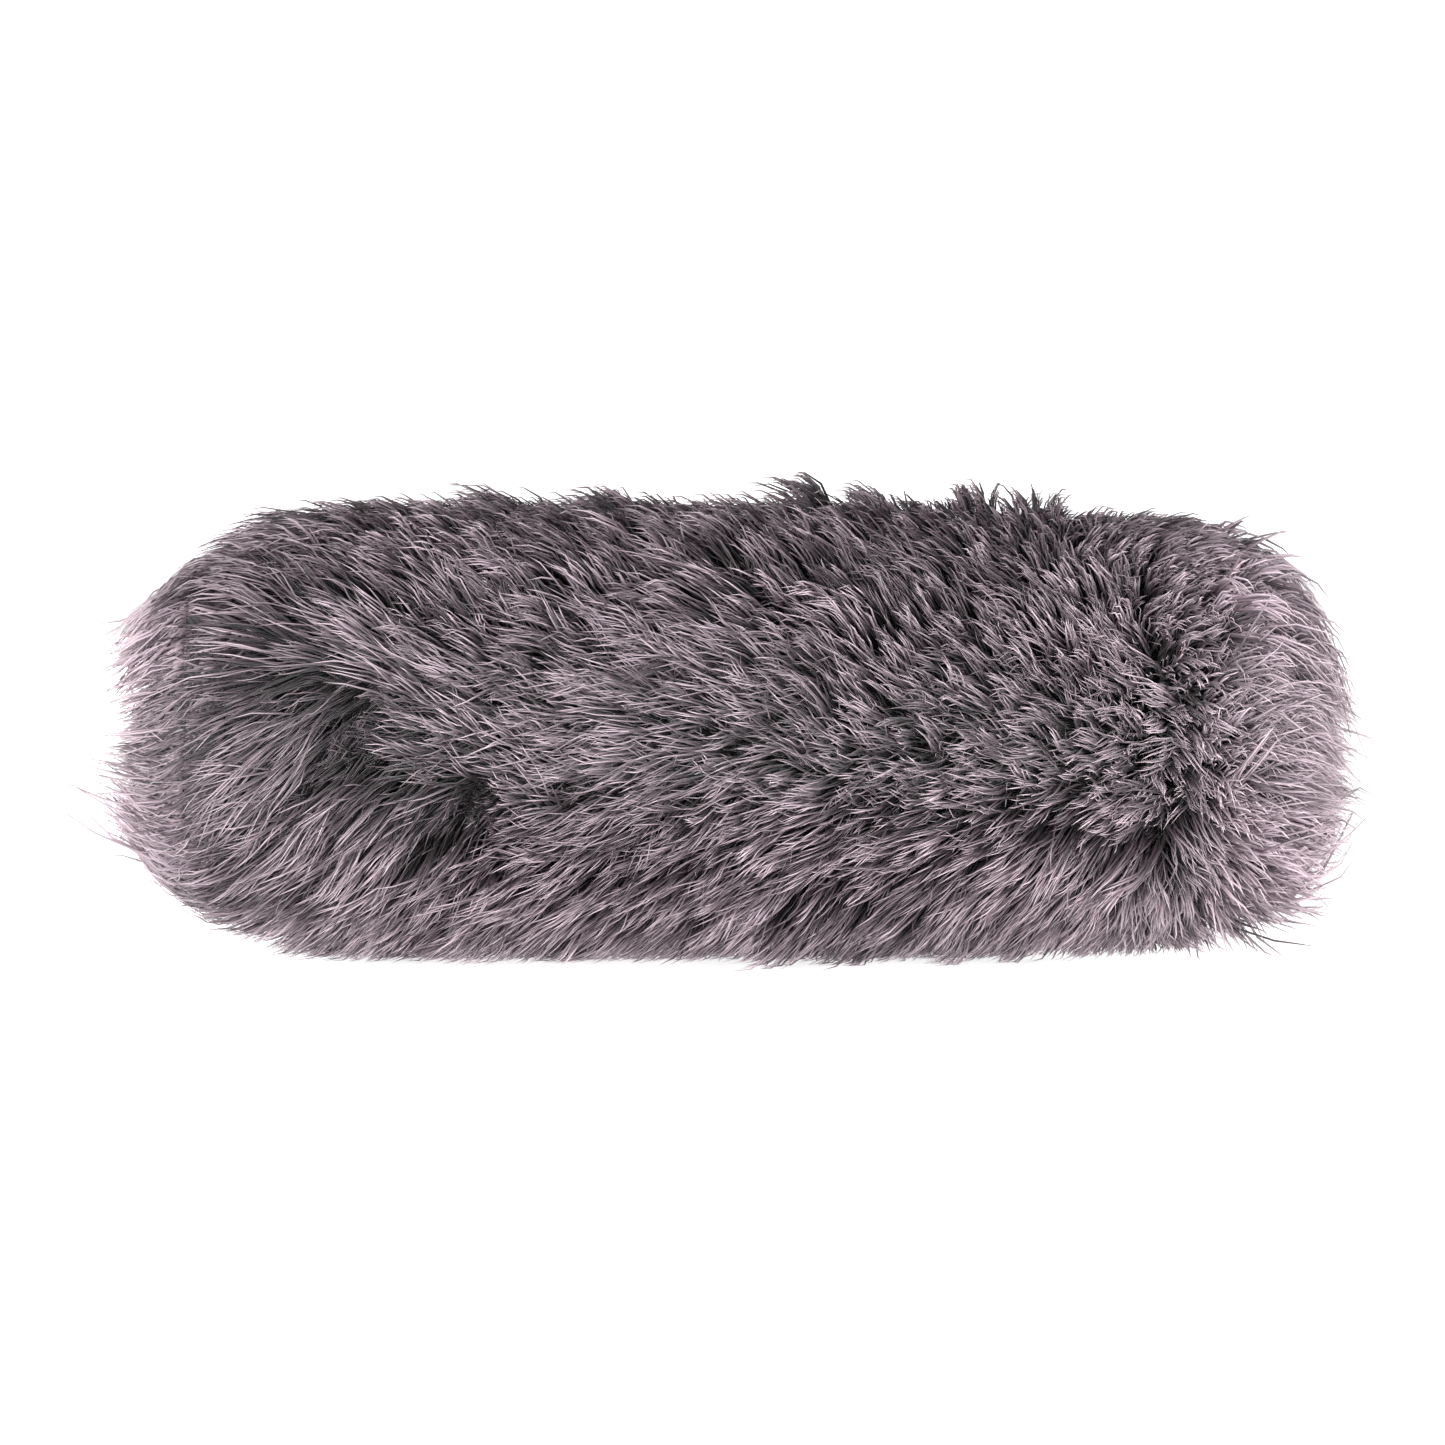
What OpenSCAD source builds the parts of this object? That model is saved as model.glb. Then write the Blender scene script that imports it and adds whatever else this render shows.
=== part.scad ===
// Slip-on furry windscreen for a shotgun microphone.
// A lattice cage in two moulded halves keeps still air round the microphone. It is lined with
// fine mesh, wrapped in open-cell foam and closed by a frame at each end. A rubber boot in a
// twist-lock collar holds the microphone at the rear, and a long-pile fur jacket pulls off
// towards the nose.
// The microphone's axis runs along +X, from the rear collar to the nose, and +Z is up.

/* [Microphone] */
// Radius of the boot's relaxed bore, for microphones 20 to 22 mm across
bore_r = 10; // [9:0.5:11]
// Length of the boot's bore
bore_len = 50; // [40:1:60]

/* [Cage] */
// Length of the cage, between the two end frames
cage_len = 184; // [160:4:220]
// Outer radius of the cage's wall
cage_r = 23.4; // [23:0.1:24]
// Thickness of the cage's wall
cage_wall = 2.4; // [2:0.1:2.6]
// Windows along the cage
window_rows = 6; // [4:1:8]
// Windows round each half of the cage
windows_per_half = 4; // [3:1:5]

/* [Foam] */
// Outer radius of the foam sleeve
foam_r = 29.5; // [28.5:0.5:29.5]
// Thickness of the foam disc in front of the nose frame
nose_foam = 6.2; // [5.5:0.1:8]

/* [Fur jacket] */
// Outer radius of the fur, at the middle of its tips
fur_r = 47; // [44:0.5:52]
// How far the fur reaches behind the rear frame
fur_behind = 23; // [20:0.5:26]
// How far the fur reaches in front of the nose panel
fur_ahead = 25; // [22:0.5:28]
// How far the fur is pressed flat where the windscreen lies on a surface
flat = 1.5; // [0.5:0.1:2.5]
// Thickness of the knitted backing
backing = 1; // [0.8:0.1:1.2]

/* [Twist lock] */
// Turn that frees the collar, in degrees
unlock_turn = 30; // [25:1:35]
// Lugs on the collar
lugs = 3; // [2:1:3]

/* [Hidden] */
$fn = 96;
gap = 0.1;          // between pieces that touch
running = 0.08;     // between the collar's hub and the frame it turns in
lug_gap = 0.3;      // round a lug in its track
jacket_gap = 0.5;   // between the foam and the jacket that slides off it
flange = 3;         // thickness of each end frame's flange
flange_r = 29.6;    // radius of each end frame
sleeve_r = 20.2;    // outer radius of the end frames' sleeves
socket_r = 17.5;    // inner radius of the end frames' sleeves
sleeve_len = 12;    // how far a sleeve reaches into the cage
end_ring = 5;       // width of the solid ring at each end of the cage
end_ring_r = 28.5;  // radius of that ring
bar = 3.4;          // width of the bars between the cage's windows
liner_wall = 0.6;
spokes = 6;
spoke_w = 2.5;
nose_hub_r = 5;     // the disc in the middle of the nose frame
tip_foam = 8.8;     // thickness of the foam that the microphone's tip meets
cage_start = flange;
cage_end = cage_start + cage_len;
nose_face = cage_end + flange;             // front face of the nose frame
foam_end = nose_face + gap + nose_foam;    // front face of the nose foam
jacket_r = foam_r + jacket_gap;            // inside of the jacket
panel_r = jacket_r + backing;              // outside of the backing
panel_end = foam_end + jacket_gap + backing; // outside of the nose panel
tape = 0.75;                               // thickness of seam tape
pile_r = panel_r + tape + gap;             // where the standing pile begins
fur_start = -fur_behind;
fur_end = panel_end + fur_ahead;
middle = (fur_start + fur_end) / 2;
axis_z = fur_r - flat;
corner_rear = 25;   // rounding of the fur's outline at the rear
corner_nose = 26;   // and at the nose
nose_round = 5;     // rounding of the nose foam's edge
hem_start = -1.5;
hem_len = 9;
hem_r = panel_r + 2.4;
hem_cloth = 0.5;     // thickness of the casing round the elastic
hem_ends = 1.4;      // and of its two ends
seam_end = 0.8;      // how far the nose seam's tape reaches past the seam
seam_w = 4.8;        // width of that tape
belly_half = 7.5;    // half of the belly tape's width, in degrees
pile_clear = 0.2;    // between the pile over the mouth and the cloth inside it
parting = nose_face + 2; // where the nose's pile meets the body's
hub_r = socket_r - running;  // the collar's hub, which turns in the rear frame
hub_wall = 2.8;
hub_len = 12;
rim_r = 20.5;
rim_len = 4.6;
seal = 1.2;
lug_start = 6;
lug_len = 3;
lug_height = 1.6;
lug_half = 10;       // half of a lug's width, in degrees
lug_slack = 1.2;     // play on each side of a lug, in degrees
boot_r = hub_r - hub_wall - gap;
boot_lip = 2;
boot_lip_w = 2;
boot_start = -seal - rim_len - gap - boot_lip;
boot_flange = 2;     // the boot's inner flange, held under the clamp plate
boot_flange_r = hub_r - 0.3;
boot_thin = 1.6;     // how much thinner the boot's inner end is, so that it grips softly
boot_thin_len = 6;
plate_end = hub_len + 4; // inner face of the clamp plate
grip_notches = 18;
grip_notch_r = 1.5;
screw_r = 0.85;
screw_len = 6;
head_r = 2.1;
head = 1.2;
seat_r = 2.3;
seat = 1.4;          // depth of a frame screw's seat
pilot_r = 0.9;
screw_ring = 25.4;   // radius of the circle the frame screws stand on
clamp_ring = 16;     // radius of the circle the clamp screws stand on
clamp_screw_r = 0.7;
clamp_screw_len = 8;
clamp_head_r = 1.3;
clamp_head = 1;
clamp_pilot_r = 0.75;
clamp_pilot_len = 6;
clamp_screws_n = 4;
beyond = 60;         // further out than any part of it

// Turns a shape drawn round +Z, with z measured from the rear frame, to lie along the axis.
module along_axis() {
  translate([-middle, 0, axis_z]) rotate([0, 90, 0]) children();
}

// A tube between two radii, from z0 to z1.
module tube(r_in, r_out, z0, z1) {
  translate([0, 0, z0]) difference() {
    cylinder(r = r_out, h = z1 - z0);
    translate([0, 0, -1]) cylinder(r = r_in, h = z1 - z0 + 2);
  }
}

// Part of a tube that covers the angles from a0 to a0 + turn.
module arc_tube(r_in, r_out, z0, z1, a0, turn) {
  rotate([0, 0, a0]) rotate_extrude(angle = turn)
    translate([r_in, z0]) square([r_out - r_in, z1 - z0]);
}

// A half outline with rounded outer corners, for rotate_extrude: x is the radius.
module rounded_half(r, z0, z1, c0, c1) {
  union() {
    translate([0, z0]) square([r - c0, c0]);
    translate([r - c0, z0 + c0]) circle(r = c0);
    translate([0, z0 + c0]) square([r, z1 - z0 - c0 - c1]);
    translate([0, z1 - c1]) square([r - c1, c1]);
    translate([r - c1, z1 - c1]) circle(r = c1);
  }
}

// Copies a child to n places round the axis.
module ring_of(n, first = 0) {
  for (i = [0 : n - 1]) rotate([0, 0, first + i * 360 / n]) children();
}

// Keeps what is on the positive or the negative side of the plane y = 0.
module one_side(side) {
  intersection() {
    children();
    translate([-beyond, side > 0 ? gap / 2 : -beyond - gap / 2, -10])
      cube([2 * beyond, beyond, cage_len + 40]);
  }
}

// The bayonet track cut into the rear frame's sleeve for one lug.
module bayonet_track() {
  half = lug_half + lug_slack;
  deep = hub_r + lug_height + lug_gap;
  far = lug_start + lug_len + lug_gap;
  arc_tube(socket_r - 1, deep, lug_start - lug_gap, far, -unlock_turn - half,
           unlock_turn + 2 * half);
  arc_tube(socket_r - 1, deep, -1, far, -unlock_turn - half, 2 * half);
}

// A countersunk hole for a frame screw, from the outer face inwards.
module screw_seat() {
  translate([screw_ring, 0, -1]) cylinder(r = screw_r + 0.3, h = flange + 2);
  translate([screw_ring, 0, -1]) cylinder(r = seat_r, h = seat + 1);
}

// A small pan-head screw along +Z with a crossed slot, its head's underside at z = 0.
module small_screw(r, head_r, head, len) {
  difference() {
    union() {
      cylinder(r = r, h = len);
      translate([0, 0, -head]) cylinder(r = head_r, h = head);
    }
    for (a = [0, 90]) rotate([0, 0, a])
      translate([-head_r * 0.65, -0.25, -head - 1]) cube([head_r * 1.3, 0.5, 1.5]);
  }
}

module rear_frame() color("#2b2c2e") along_axis() difference() {
  union() {
    tube(socket_r, flange_r, 0, flange);
    tube(socket_r, sleeve_r, flange - 0.5, flange + sleeve_len);
  }
  ring_of(lugs) bayonet_track();
  ring_of(4, 45) screw_seat();
}

// One half of the cage: a windowed wall with a solid ring at each end.
module cage_half(side) color("#3a3b3d") along_axis() one_side(side) difference() {
  inner = cage_r - cage_wall;
  pitch = (cage_len - 2 * end_ring) / window_rows;
  step = 180 / windows_per_half;
  width = 2 * cage_r * sin(step / 2) - bar;
  union() {
    tube(inner, cage_r, cage_start, cage_end);
    tube(inner, end_ring_r, cage_start + gap, cage_start + end_ring);
    tube(inner, end_ring_r, cage_end - end_ring, cage_end - gap);
  }
  for (row = [0 : window_rows - 1], k = [0 : windows_per_half - 1])
    rotate([0, 0, (side > 0 ? 0 : 180) + (k + 0.5) * step])
      translate([inner - 4, -width / 2, cage_start + end_ring + bar / 2 + row * pitch])
        cube([12, width, pitch - bar]);
  ring_of(4, 45) translate([screw_ring, 0, 0]) cylinder(r = pilot_r, h = cage_len + 20);
}

module nose_frame() color("#2b2c2e") along_axis() difference() {
  union() {
    tube(sleeve_r - 0.5, flange_r, cage_end, nose_face);
    tube(socket_r, sleeve_r, cage_end - sleeve_len, nose_face);
    translate([0, 0, cage_end]) cylinder(r = nose_hub_r, h = flange);
    ring_of(spokes) translate([nose_hub_r - 2, -spoke_w / 2, cage_end])
      cube([sleeve_r - nose_hub_r + 1, spoke_w, flange]);
  }
  translate([0, 0, nose_face]) mirror([0, 0, 1]) ring_of(4, 45) screw_seat();
}

module mesh_liner() color("#55575a") along_axis()
  tube(sleeve_r + gap, sleeve_r + gap + liner_wall, cage_start + gap, cage_end - gap);

module nose_mesh() color("#55575a") along_axis()
  translate([0, 0, cage_end - liner_wall - gap / 2]) cylinder(r = socket_r - gap, h = liner_wall);

module tip_foam_stop() color("#3c3d40") along_axis()
  translate([0, 0, cage_end - liner_wall - 2 * gap - tip_foam])
    cylinder(r = socket_r - gap, h = tip_foam);

module foam_sleeve() color("#34353a") along_axis()
  tube(cage_r + gap, foam_r, cage_start + end_ring + gap, cage_end - end_ring - gap);

module foam_nose_disc() color("#34353a") along_axis() rotate_extrude() intersection() {
  rounded_half(foam_r, foam_end - 4 * nose_round, foam_end, 1, nose_round);
  translate([0, nose_face + gap]) square([foam_r + 1, nose_foam]);
}

module rear_screws() color("silver") along_axis()
  ring_of(4, 45) translate([screw_ring, 0, seat]) small_screw(screw_r, head_r, head, screw_len);

module nose_screws() color("silver") along_axis()
  translate([0, 0, nose_face]) mirror([0, 0, 1])
    ring_of(4, 45) translate([screw_ring, 0, seat]) small_screw(screw_r, head_r, head, screw_len);

module rear_fur_backing() color("#4a444a") along_axis()
  tube(rim_r + 0.8, foam_r - gap, -backing - gap / 2, -gap / 2);

module rear_fur_pile() color("#7a7076") along_axis() fur_solid()
  translate([rim_r + 1, fur_start])
    square([jacket_r - pile_clear - rim_r - 1, fur_behind - backing - gap]);

module collar_ring() color("#1f2022") along_axis() difference() {
  union() {
    tube(hub_r - hub_wall, hub_r, -seal - rim_len, hub_len);
    tube(hub_r - hub_wall, rim_r, -seal - rim_len, -seal);
    ring_of(lugs) arc_tube(hub_r - 0.5, hub_r + lug_height, lug_start, lug_start + lug_len,
                           -lug_half, 2 * lug_half);
  }
  ring_of(grip_notches) translate([rim_r + 0.7, 0, -seal - rim_len - 1])
    cylinder(r = grip_notch_r, h = rim_len + 2);
  ring_of(clamp_screws_n) translate([clamp_ring, 0, hub_len - clamp_pilot_len])
    cylinder(r = clamp_pilot_r, h = clamp_pilot_len + 1);
}

module collar_seal() color("#151515") along_axis()
  tube(hub_r + gap, rim_r - 1.2, -seal, -gap);

module mic_boot() color("#18181a") along_axis() difference() {
  union() {
    translate([0, 0, boot_start]) cylinder(r = boot_r, h = bore_len);
    translate([0, 0, boot_start]) cylinder(r = boot_r + boot_lip_w, h = boot_lip);
    translate([0, 0, hub_len + gap]) cylinder(r = boot_flange_r, h = boot_flange);
  }
  translate([0, 0, boot_start - 1]) cylinder(r = bore_r, h = bore_len + 2);
  translate([0, 0, boot_start + bore_len - boot_thin_len])
    tube(boot_r - boot_thin, boot_r + 1, 0, boot_thin_len + 1);
  ring_of(clamp_screws_n) translate([clamp_ring, 0, hub_len])
    cylinder(r = clamp_pilot_r, h = boot_flange + 1);
}

module boot_clamp_plate() color("#2b2c2e") along_axis() difference() {
  tube(boot_r + gap, boot_flange_r, hub_len + boot_flange + 2 * gap, plate_end);
  ring_of(clamp_screws_n) translate([clamp_ring, 0, hub_len]) cylinder(r = clamp_pilot_r, h = 6);
}

module clamp_screws() color("silver") along_axis()
  ring_of(clamp_screws_n) translate([clamp_ring, 0, plate_end + gap])
    mirror([0, 0, 1]) small_screw(clamp_screw_r, clamp_head_r, clamp_head, clamp_screw_len);

module jacket_body_backing() color("#4a444a") along_axis()
  tube(jacket_r, panel_r, hem_start, nose_face);

module jacket_nose_backing() color("#4a444a") along_axis() rotate_extrude() intersection() {
  difference() {
    rounded_half(panel_r, 0, panel_end, 1, nose_round + 1.5);
    rounded_half(jacket_r, -5, panel_end - backing, 1, nose_round + 0.5);
  }
  translate([0, nose_face + gap]) square([panel_r + 1, panel_end]);
}

module nose_seam_binding() color("#2e2a2e") along_axis()
  tube(panel_r + gap / 2, panel_r + tape, nose_face + seam_end - seam_w, nose_face + seam_end);

module belly_seam_tape() color("#2e2a2e") along_axis()
  arc_tube(panel_r + gap / 2, panel_r + tape, hem_start + hem_len + 1,
           nose_face + seam_end - seam_w - 1, -belly_half, 2 * belly_half);

module hem_casing() color("#3a353a") along_axis() difference() {
  tube(panel_r + gap / 2, hem_r, hem_start, hem_start + hem_len);
  tube(panel_r + hem_cloth, hem_r - hem_cloth, hem_start + hem_ends, hem_start + hem_len - hem_ends);
}

module hem_elastic() color("#e6e2da") along_axis()
  tube(panel_r + hem_cloth + gap, hem_r - hem_cloth - gap,
       hem_start + hem_ends + 2 * gap, hem_start + hem_len - hem_ends - 2 * gap);

// What a half outline has in common with the whole fur, which is pressed flat underneath.
module fur_solid() intersection() {
  rotate_extrude() intersection() {
    rounded_half(fur_r, fur_start, fur_end, corner_rear, corner_nose);
    children();
  }
  translate([-beyond, -beyond, -beyond]) cube([beyond + axis_z, 2 * beyond, 400]);
}

module jacket_body_pile() color("#7a7076") along_axis() fur_solid() polygon([
  [jacket_r + pile_clear, fur_start - 1], [fur_r + 1, fur_start - 1],
  [fur_r + 1, parting + fur_r + 1 - pile_r], [pile_r, parting],
  [pile_r, hem_start + hem_len + gap], [hem_r + gap, hem_start + hem_len + gap],
  [hem_r + gap, hem_start - gap], [jacket_r + pile_clear, hem_start - gap]
]);

module jacket_nose_pile() color("#7a7076") along_axis() fur_solid() polygon([
  [0, panel_end + gap], [pile_r, panel_end + gap],
  [pile_r, parting + 2 * gap], [fur_r + 1, parting + 2 * gap + fur_r + 1 - pile_r],
  [fur_r + 1, fur_end + 1], [0, fur_end + 1]
]);

rear_frame();
cage_half(1);  // cage_left_half
cage_half(-1);  // cage_right_half
nose_frame();
mesh_liner();
nose_mesh();
tip_foam_stop();
foam_sleeve();
foam_nose_disc();
rear_screws();
nose_screws();
rear_fur_backing();
rear_fur_pile();
collar_ring();
collar_seal();
mic_boot();
boot_clamp_plate();
clamp_screws();
jacket_body_backing();
jacket_nose_backing();
nose_seam_binding();
belly_seam_tape();
hem_casing();
hem_elastic();
jacket_body_pile();
jacket_nose_pile();
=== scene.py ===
"""Furry windscreen for a shotgun microphone: fur, knitted backing, foam, seams and finishes.

The cage, frames, collar, boot and screws come ready from the frame. This script gives them
their finishes, and models every soft piece: the foam, the knitted backing, the tapes, the
elastic and the long pile. The axis of the windscreen runs along +X towards the nose.
"""

import math
from contextlib import contextmanager

import bmesh
import bpy
import numpy as np
from bpy.props import FloatProperty, FloatVectorProperty, IntProperty, PointerProperty, StringProperty
from mathutils import Matrix, Vector
from mathutils.kdtree import KDTree


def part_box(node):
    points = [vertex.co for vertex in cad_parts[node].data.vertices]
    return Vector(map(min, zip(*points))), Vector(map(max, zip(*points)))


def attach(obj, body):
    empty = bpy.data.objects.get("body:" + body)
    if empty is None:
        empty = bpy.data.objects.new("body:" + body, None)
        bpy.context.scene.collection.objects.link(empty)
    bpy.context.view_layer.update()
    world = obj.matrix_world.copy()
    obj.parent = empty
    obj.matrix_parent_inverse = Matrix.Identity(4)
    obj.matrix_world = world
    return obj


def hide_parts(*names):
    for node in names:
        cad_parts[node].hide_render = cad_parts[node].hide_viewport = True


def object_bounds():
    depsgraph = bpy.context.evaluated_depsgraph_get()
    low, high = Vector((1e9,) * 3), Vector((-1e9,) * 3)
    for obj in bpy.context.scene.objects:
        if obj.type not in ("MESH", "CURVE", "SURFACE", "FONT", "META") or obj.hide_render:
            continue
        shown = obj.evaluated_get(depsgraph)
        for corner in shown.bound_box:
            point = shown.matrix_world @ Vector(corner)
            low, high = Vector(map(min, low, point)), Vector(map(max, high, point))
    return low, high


bl_info = {
    "name": "Furry Windscreen",
    "version": (1, 0, 0),
    "blender": (4, 5, 0),
    "location": "View3D > Sidebar > Windscreen",
    "description": "Models the soft pieces and finishes of a furry microphone windscreen",
    "category": "Object",
}

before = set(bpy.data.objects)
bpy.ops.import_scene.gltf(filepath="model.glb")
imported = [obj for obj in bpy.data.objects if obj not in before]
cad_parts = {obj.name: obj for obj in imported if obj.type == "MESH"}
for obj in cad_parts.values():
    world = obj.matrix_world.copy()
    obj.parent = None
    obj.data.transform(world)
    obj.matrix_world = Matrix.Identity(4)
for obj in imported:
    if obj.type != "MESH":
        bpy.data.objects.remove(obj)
cad_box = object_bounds()

MM = 0.001

# Places and radii, read from the frame. r_* are radii round the axis.


def span(node):
    """Where a node starts and ends along the axis."""
    low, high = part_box(node)
    return low[0], high[0]


def radius(node):
    """A node's outer radius round the axis, from its width."""
    low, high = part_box(node)
    return (high[1] - low[1]) / 2


def inner_radius(node):
    """A node's inner radius round the axis, from its mesh."""
    return round_axis(coordinates(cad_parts[node]))[0].min()


def coordinates(piece):
    """The piece's vertices as an array."""
    flat = np.empty(3 * len(piece.data.vertices))
    piece.data.vertices.foreach_get("co", flat)
    return flat.reshape(-1, 3)


def radius_of_arc(node):
    """A node's outer radius where it isn't a whole ring, from its mesh."""
    return round_axis(coordinates(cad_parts[node]))[0].max()


axis_z = (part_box("collar_seal")[0][2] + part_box("collar_seal")[1][2]) / 2
r_backing = radius("jacket_body_backing")
r_hem = radius("hem_casing")
r_fur = radius("jacket_body_pile")
r_foam = radius("foam_sleeve")
x_rear, x_nose = cad_box[0][0], cad_box[1][0]
x_mouth, x_seam = span("jacket_body_backing")
x_hem_end = span("hem_casing")[1]
x_panel = span("jacket_nose_backing")[1]
x_ring = span("rear_fur_backing")[0]
# The backing's thickness and the radius of the nose panel's edge.
BACKING = 1 * MM
NOSE_EDGE = 6.5 * MM
# How far hair stays off the cloth and the floor, and how far stitches stay off their tape.
JACKET_CLEAR = 0.3 * MM
FLOOR_GAP = 0.25 * MM
STITCH_PROUD = 0.02 * MM
# The nose panel with its edge and wall is about 1.3 times as large as its outline.
NOSE_AREA = 1.3 * math.pi * r_backing ** 2


# Small tools for meshes.


def deselect():
    """Leaves object mode with nothing selected."""
    if bpy.context.object and bpy.context.object.mode != "OBJECT":
        bpy.ops.object.mode_set(mode="OBJECT")
    bpy.ops.object.select_all(action="DESELECT")


@contextmanager
def edit_mode():
    """A block that works on the active piece in edit mode."""
    bpy.ops.object.mode_set(mode="EDIT")
    yield
    bpy.ops.object.mode_set(mode="OBJECT")


def only(piece):
    """Selects one piece and makes it active."""
    deselect()
    piece.select_set(True)
    bpy.context.view_layer.objects.active = piece
    return piece


def fresh(name):
    """The object that a primitive operator has just added, named."""
    piece = bpy.context.object
    piece.name = piece.data.name = name
    return piece


def linked(name, mesh):
    """A new object for a mesh, in the scene."""
    piece = bpy.data.objects.new(name, mesh)
    bpy.context.scene.collection.objects.link(piece)
    return piece


def settle(piece):
    """Puts the piece's place and turn into its mesh, so that the object sits at the origin."""
    only(piece)
    bpy.ops.object.transform_apply(location=True, rotation=True, scale=True)
    return piece


def apply_all(piece):
    """Applies every modifier."""
    only(piece)
    for modifier in list(piece.modifiers):
        bpy.ops.object.modifier_apply(modifier=modifier.name)
    return piece


def pick(piece, test, kind="faces"):
    """In edit mode, selects the faces that a test on their middle and normal passes, or the edges."""
    mesh = bmesh.from_edit_mesh(piece.data)
    for part in list(mesh.faces) + list(mesh.edges) + list(mesh.verts):
        part.select_set(False)
    bpy.context.tool_settings.mesh_select_mode = (False, kind == "edges", kind == "faces")
    for part in getattr(mesh, kind):
        if kind == "faces":
            chosen = test(part.calc_center_median(), part.normal)
        else:
            chosen = test((part.verts[0].co + part.verts[1].co) / 2, part)
        if chosen:
            part.select_set(True)
    mesh.select_flush_mode()
    bmesh.update_edit_mesh(piece.data)


def set_coordinates(piece, points):
    """Moves the piece's vertices to the points of an array."""
    piece.data.vertices.foreach_set("co", np.ascontiguousarray(points, dtype=np.float64).ravel())
    piece.data.update()


def round_axis(points):
    """Radius and angle round the axis. Angle 0 is the front, -Y, and a quarter turn is the top."""
    y, z = points[:, 1], points[:, 2] - axis_z
    return np.hypot(y, z), np.arctan2(z, -y)


def from_axis(x, r, angle):
    """Points from their place along the axis, radius and angle."""
    return np.stack([x, -r * np.cos(angle), axis_z + r * np.sin(angle)], axis=-1)


def cylinder_along_axis(name, x0, x1, r, around, caps="NGON"):
    """A cylinder round the axis."""
    deselect()
    bpy.ops.mesh.primitive_cylinder_add(
        vertices=around, radius=r, depth=x1 - x0, end_fill_type=caps,
        location=((x0 + x1) / 2, 0, axis_z), rotation=(0, math.pi / 2, 0),
    )
    return settle(fresh(name))


def tube_along_axis(name, x0, x1, r, around, along):
    """An open tube round the axis: a cylinder without its caps, cut into rings."""
    piece = cylinder_along_axis(name, x0, x1, r, around, "NOTHING")
    with edit_mode():
        pick(piece, lambda middle, edge: abs((edge.verts[0].co - edge.verts[1].co).x) > 1e-6, "edges")
        bpy.ops.mesh.subdivide(number_cuts=along - 1)
    return piece


def wrap_uv(piece, x0):
    """A UV map in millimetres, for cloth round the axis: U round it, V along it from x0."""
    mesh = piece.data
    layer = mesh.uv_layers.new(name="Weave")
    points = coordinates(piece)
    r, angle = round_axis(points)
    corner = np.empty(len(mesh.loops), dtype=np.int64)
    mesh.loops.foreach_get("vertex_index", corner)
    starts = np.empty(len(mesh.polygons), dtype=np.int64)
    mesh.polygons.foreach_get("loop_start", starts)
    sizes = np.diff(np.append(starts, len(corner)))
    turn = angle[corner]
    first = np.repeat(turn[starts], sizes)
    turn = first + (turn - first + math.pi) % (2 * math.pi) - math.pi
    along = points[corner, 0] - x0 + r.max() - r[corner]
    layer.data.foreach_set("uv", (np.stack([turn * r_backing, along], axis=1) / MM).ravel())


def polar(piece):
    """The piece's vertices as places along the axis, radii and angles."""
    points = coordinates(piece)
    return points[:, 0], *round_axis(points)


def set_polar(piece, x, r, angle):
    """Moves the piece's vertices to places along the axis, radii and angles."""
    set_coordinates(piece, from_axis(x, r, angle))


def thicken(piece, wall, offset=-1.0):
    """Gives an open sheet a wall, inwards unless offset says otherwise."""
    solid = piece.modifiers.new("Wall", "SOLIDIFY")
    solid.thickness, solid.offset, solid.use_even_offset = wall, offset, True
    return apply_all(piece)


def smooth(piece, degrees=40):
    """Shades the piece smooth, apart from edges sharper than the angle."""
    only(piece)
    bpy.ops.object.shade_smooth_by_angle(angle=math.radians(degrees))
    return piece


def recalculate(piece):
    """Merges doubles and points every face outwards."""
    only(piece)
    with edit_mode():
        bpy.ops.mesh.select_all(action="SELECT")
        bpy.ops.mesh.remove_doubles(threshold=1e-6)
        bpy.ops.mesh.normals_make_consistent(inside=False)
    return piece


def finish_piece(piece, coat, body, slot, *nodes):
    """Gives the piece its material and body, and hides the CAD nodes that it stands for. slot is not used.
    """
    piece.data.materials.clear()
    piece.data.materials.append(coat)
    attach(piece, body)
    if nodes:
        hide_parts(*nodes)
    return piece


# Small tools for materials.


def linear(colour):
    """A linear RGBA colour from an sRGB hex value such as "6b6168"."""
    channels = [int(colour[i:i + 2], 16) / 255 for i in (0, 2, 4)]
    return [c / 12.92 if c <= 0.04045 else ((c + 0.055) / 1.055) ** 2.4 for c in channels] + [1.0]


def feed(tree, made, links):
    """Links outputs of other nodes into a node's sockets."""
    for socket, (source, output) in links.items():
        tree.links.new(source.outputs[output], made.inputs[socket])


def add(tree, kind, values=None, links=None, stops=(), **settings):
    """Adds a node with its settings, its sockets' values, the links into it and its colour stops.

    A stop is a place from 0 to 1 and a hex colour.
    """
    made = tree.nodes.new("ShaderNode" + kind)
    for name, value in settings.items():
        setattr(made, name, value)
    for socket, value in (values or {}).items():
        made.inputs[socket].default_value = value
    feed(tree, made, links or {})
    if stops:
        points = made.color_ramp.elements
        while len(points) < len(stops):
            points.new(0.5)
        for point, (place, colour) in zip(points, stops):
            point.position, point.color = place, linear(colour)
    return made


def new_material(name, **sockets):
    """A material with its shader's constant sockets set; returns it, its tree and the shader."""
    made = bpy.data.materials.new(name)
    made.use_nodes = True
    shader = made.node_tree.nodes["Principled BSDF"]
    for socket, value in sockets.items():
        shader.inputs[socket.replace("_", " ")].default_value = value
    return made, made.node_tree, shader


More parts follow.
